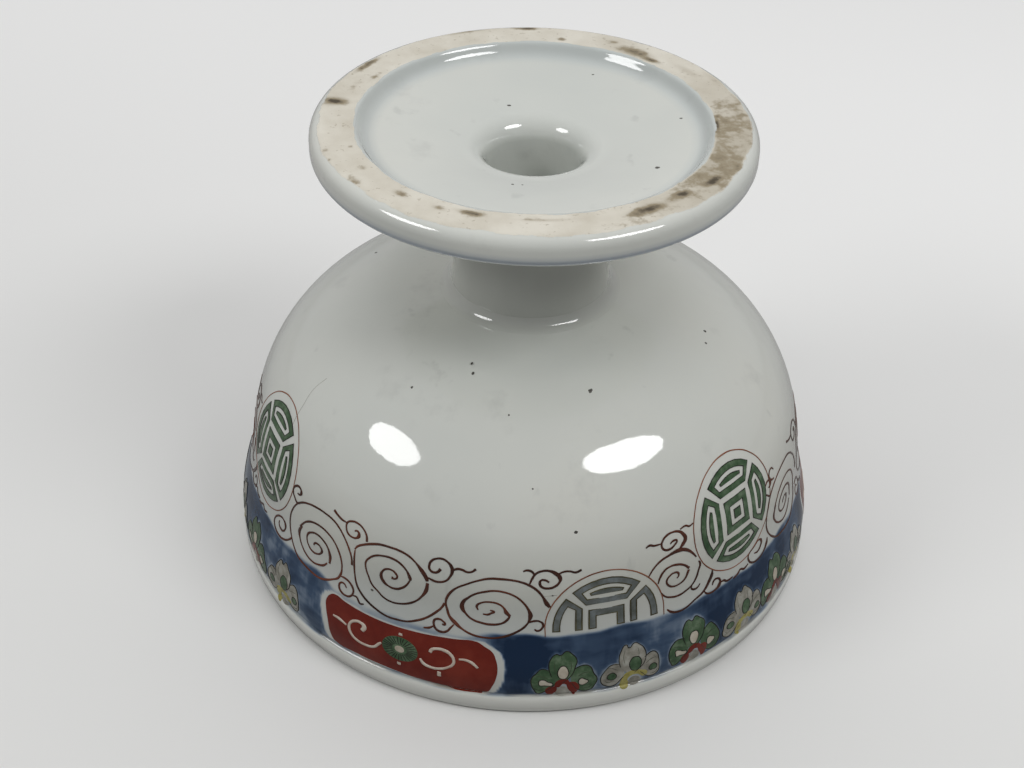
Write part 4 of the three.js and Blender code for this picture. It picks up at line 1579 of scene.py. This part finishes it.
PAINTS = [
    (scrolls, "iron_red_line", 60, [(0.024, 0.012, 0.009), (0.070, 0.022, 0.013), (0.17, 0.050, 0.028)]),
    (ring_lines, "thin_red_line", 80, [(0.13, 0.045, 0.022), (0.24, 0.085, 0.042), (0.32, 0.15, 0.09)]),
    (olive_lines, "olive_line", 160, [(0.035, 0.032, 0.014), (0.070, 0.060, 0.028), (0.13, 0.12, 0.06)]),
    (slate_enamel, "slate_blue_enamel", 260,
     [(0.085, 0.095, 0.080), (0.135, 0.150, 0.145), (0.215, 0.245, 0.26)]),
    (green_enamel, "green_enamel_glass", 380,
     [(0.030, 0.072, 0.032), (0.064, 0.118, 0.060), (0.15, 0.215, 0.135)]),
    (white_enamel, "white_enamel_glass", 380, [(0.19, 0.18, 0.15), (0.30, 0.29, 0.25), (0.45, 0.445, 0.40)]),
    (cream_enamel, "cream_enamel_glass", 400, [(0.42, 0.36, 0.28), (0.54, 0.49, 0.40), (0.64, 0.60, 0.52)]),
    (red_enamel, "iron_red_enamel", 110,
     [(0.120, 0.010, 0.005), (0.165, 0.017, 0.009), (0.215, 0.030, 0.017)]),
    (yellow_enamel, "yellow_enamel_glass", 500,
     [(0.26, 0.22, 0.05), (0.38, 0.34, 0.10), (0.48, 0.44, 0.19)]),
    (dark_outlines, "black_brown_line", 160,
     [(0.007, 0.007, 0.006), (0.016, 0.016, 0.012), (0.045, 0.045, 0.034)]),
    (petal_veins, "vein_line", 200, [(0.015, 0.020, 0.012), (0.045, 0.055, 0.032), (0.11, 0.12, 0.08)]),
    (cream_scrolls, "cream_line", 300, [(0.48, 0.36, 0.30), (0.60, 0.52, 0.44), (0.68, 0.62, 0.54)]),
    (specks, "iron_speck", 900, [(0.03, 0.028, 0.024), (0.09, 0.085, 0.075), (0.18, 0.175, 0.16)]),
    (hairline, "hairline_stain", 200, [(0.26, 0.25, 0.215), (0.36, 0.35, 0.31), (0.45, 0.44, 0.40)]),
]
for piece, name, scale, tones in PAINTS:
    dress(piece, enamel_finish(name, scale, tones))
print("paints:", len(PAINTS))

# %% [markdown]
# ## What each piece rides on
# Nothing moves, so every piece rides on the one body. The three turned pieces stand for the
# three CAD nodes, which are hidden.

# %% Tie the pieces to the CAD
painted_pieces = [paint[0] for paint in PAINTS]
for piece in [bowl, pedestal, slip] + painted_pieces:
    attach(piece, RIDES_ON)
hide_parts("bowl")
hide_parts("pedestal_foot")
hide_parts("luting_slip")
print("pieces:", 3 + len(painted_pieces))

# %% [markdown]
# ## Floor, world and lamps
# The bowl stands on a pale sheet, which fades to white away from the camera: painted light that
# stands for the brighter floor far off. The world is a plain dome, bright overhead and on the far
# side, as in a room with a pale ceiling and a pale back wall, and two lamps stand left and right
# of the camera. In the glaze the dome is seen as an even grey, so that only the two lamps stand out
# there. Each lamp is placed where its mirror image on the shoulder is the bright patch in the
# photograph. For the camera alone, the sheet glows a little far off and the dome is white behind
# it, so that the background stays white from low down too.

# %% Floor
FLOOR_SIZE = 6.0
FLOOR_NEAR = (0.745, 0.745, 0.735, 1)
FLOOR_FAR = (0.95, 0.95, 0.945, 1)
FLOOR_BOUNCE = (0.40, 0.40, 0.39, 1)
FADE_FROM = -0.12
FADE_TO = 0.34
SIDEWAYS = 0.35
GLOW_FROM = 0.55
GLOW_TO = 2.2
GLOW = 0.5
deselect_all()
bpy.ops.mesh.primitive_plane_add(size=FLOOR_SIZE, location=(0, 0, -0.05 * MM))
floor = bpy.context.object
floor.name = "floor"
paper = Finish("pale_floor", roughness=0.85)
# Painted light: the floor's colour grows paler away from the camera.
reach = paper.sum("ADD", paper.axis("Y"), paper.sum("MULTIPLY", paper.axis("X"), SIDEWAYS))
seen = paper.blend(paper.spread(reach, FADE_FROM, FADE_TO), FLOOR_NEAR, FLOOR_FAR)
by_camera = paper.node("ShaderNodeLightPath").outputs["Is Camera Ray"]
away = paper.node("ShaderNodeVectorMath", operation="LENGTH")
paper.plug(away.inputs[0], paper.coordinates["Object"])
far_glow = paper.spread(away.outputs["Value"], GLOW_FROM, GLOW_TO, 0.0, GLOW)
dress(floor, paper.done(paper.blend(by_camera, FLOOR_BOUNCE, seen), Emission_Color=(1, 1, 1, 1),
                        Emission_Strength=paper.sum("MULTIPLY", far_glow, by_camera)))

# %% World
SKY = [(0.0, (0.03, 0.03, 0.03, 1)), (0.35, (0.03, 0.03, 0.03, 1)), (0.7, (0.05, 0.05, 0.05, 1)),
       (1.0, (1.0, 1.0, 1.0, 1))]
OVERHEAD = 1.3
BACK_WALL = 0.8
SEEN_IN_GLAZE = (0.36, 0.36, 0.36, 1)
SEEN_BEHIND = (1, 1, 1, 1)
world = bpy.data.worlds.new("studio")
bpy.context.scene.world = world
world.use_nodes = True
sky = Nodes(world.node_tree)
dome = sky.node("ShaderNodeVectorMath", operation="SCALE")
sky.plug(dome.inputs[0], sky.ramp(sky.axis("Z", "Generated"), SKY))
sky.feed(dome, Scale=OVERHEAD)
back_wall = sky.sum("MULTIPLY", sky.axis("Y", "Generated"), BACK_WALL, use_clamp=True)
light = sky.blend(1.0, dome.outputs["Vector"], back_wall, "ADD")
ray = sky.node("ShaderNodeLightPath").outputs
light = sky.blend(ray["Is Glossy Ray"], light, SEEN_IN_GLAZE)
light = sky.blend(ray["Is Camera Ray"], light, SEEN_BEHIND)
sky.feed(sky.tree.nodes["Background"], Color=light, Strength=1.0)

# %% Lamps
LAMP_DISTANCE = 1.3
LAMP_AIM = Vector((0.0, -0.04, 0.06))


def lamp(name, side_degrees, height_degrees, width, height, watts, roll_degrees=0.0):
    """An oval lamp at a direction from the bowl: degrees to the right of the camera, and up."""
    side = math.radians(side_degrees)
    raised = math.radians(height_degrees)
    away = Vector((math.sin(side) * math.cos(raised), -math.cos(side) * math.cos(raised),
                   math.sin(raised)))
    data = bpy.data.lights.new(name, "AREA")
    data.shape = "ELLIPSE"
    data.size = width
    data.size_y = height
    data.energy = watts
    made = bpy.data.objects.new(name, data)
    bpy.context.scene.collection.objects.link(made)
    turn = away.to_track_quat("Z", "Y").to_matrix().to_4x4()
    roll = Matrix.Rotation(math.radians(roll_degrees), 4, "Z")
    made.matrix_world = Matrix.Translation(LAMP_AIM + away * LAMP_DISTANCE) @ turn @ roll


lamp("lamp_left", -69, 39, 0.58, 0.40, 3.8)
lamp("lamp_right", 57, 48, 0.70, 0.38, 5.0, -20)
print("lamps:", len(bpy.data.lights))

# %% Colours as written
bpy.context.scene.view_settings.view_transform = "Standard"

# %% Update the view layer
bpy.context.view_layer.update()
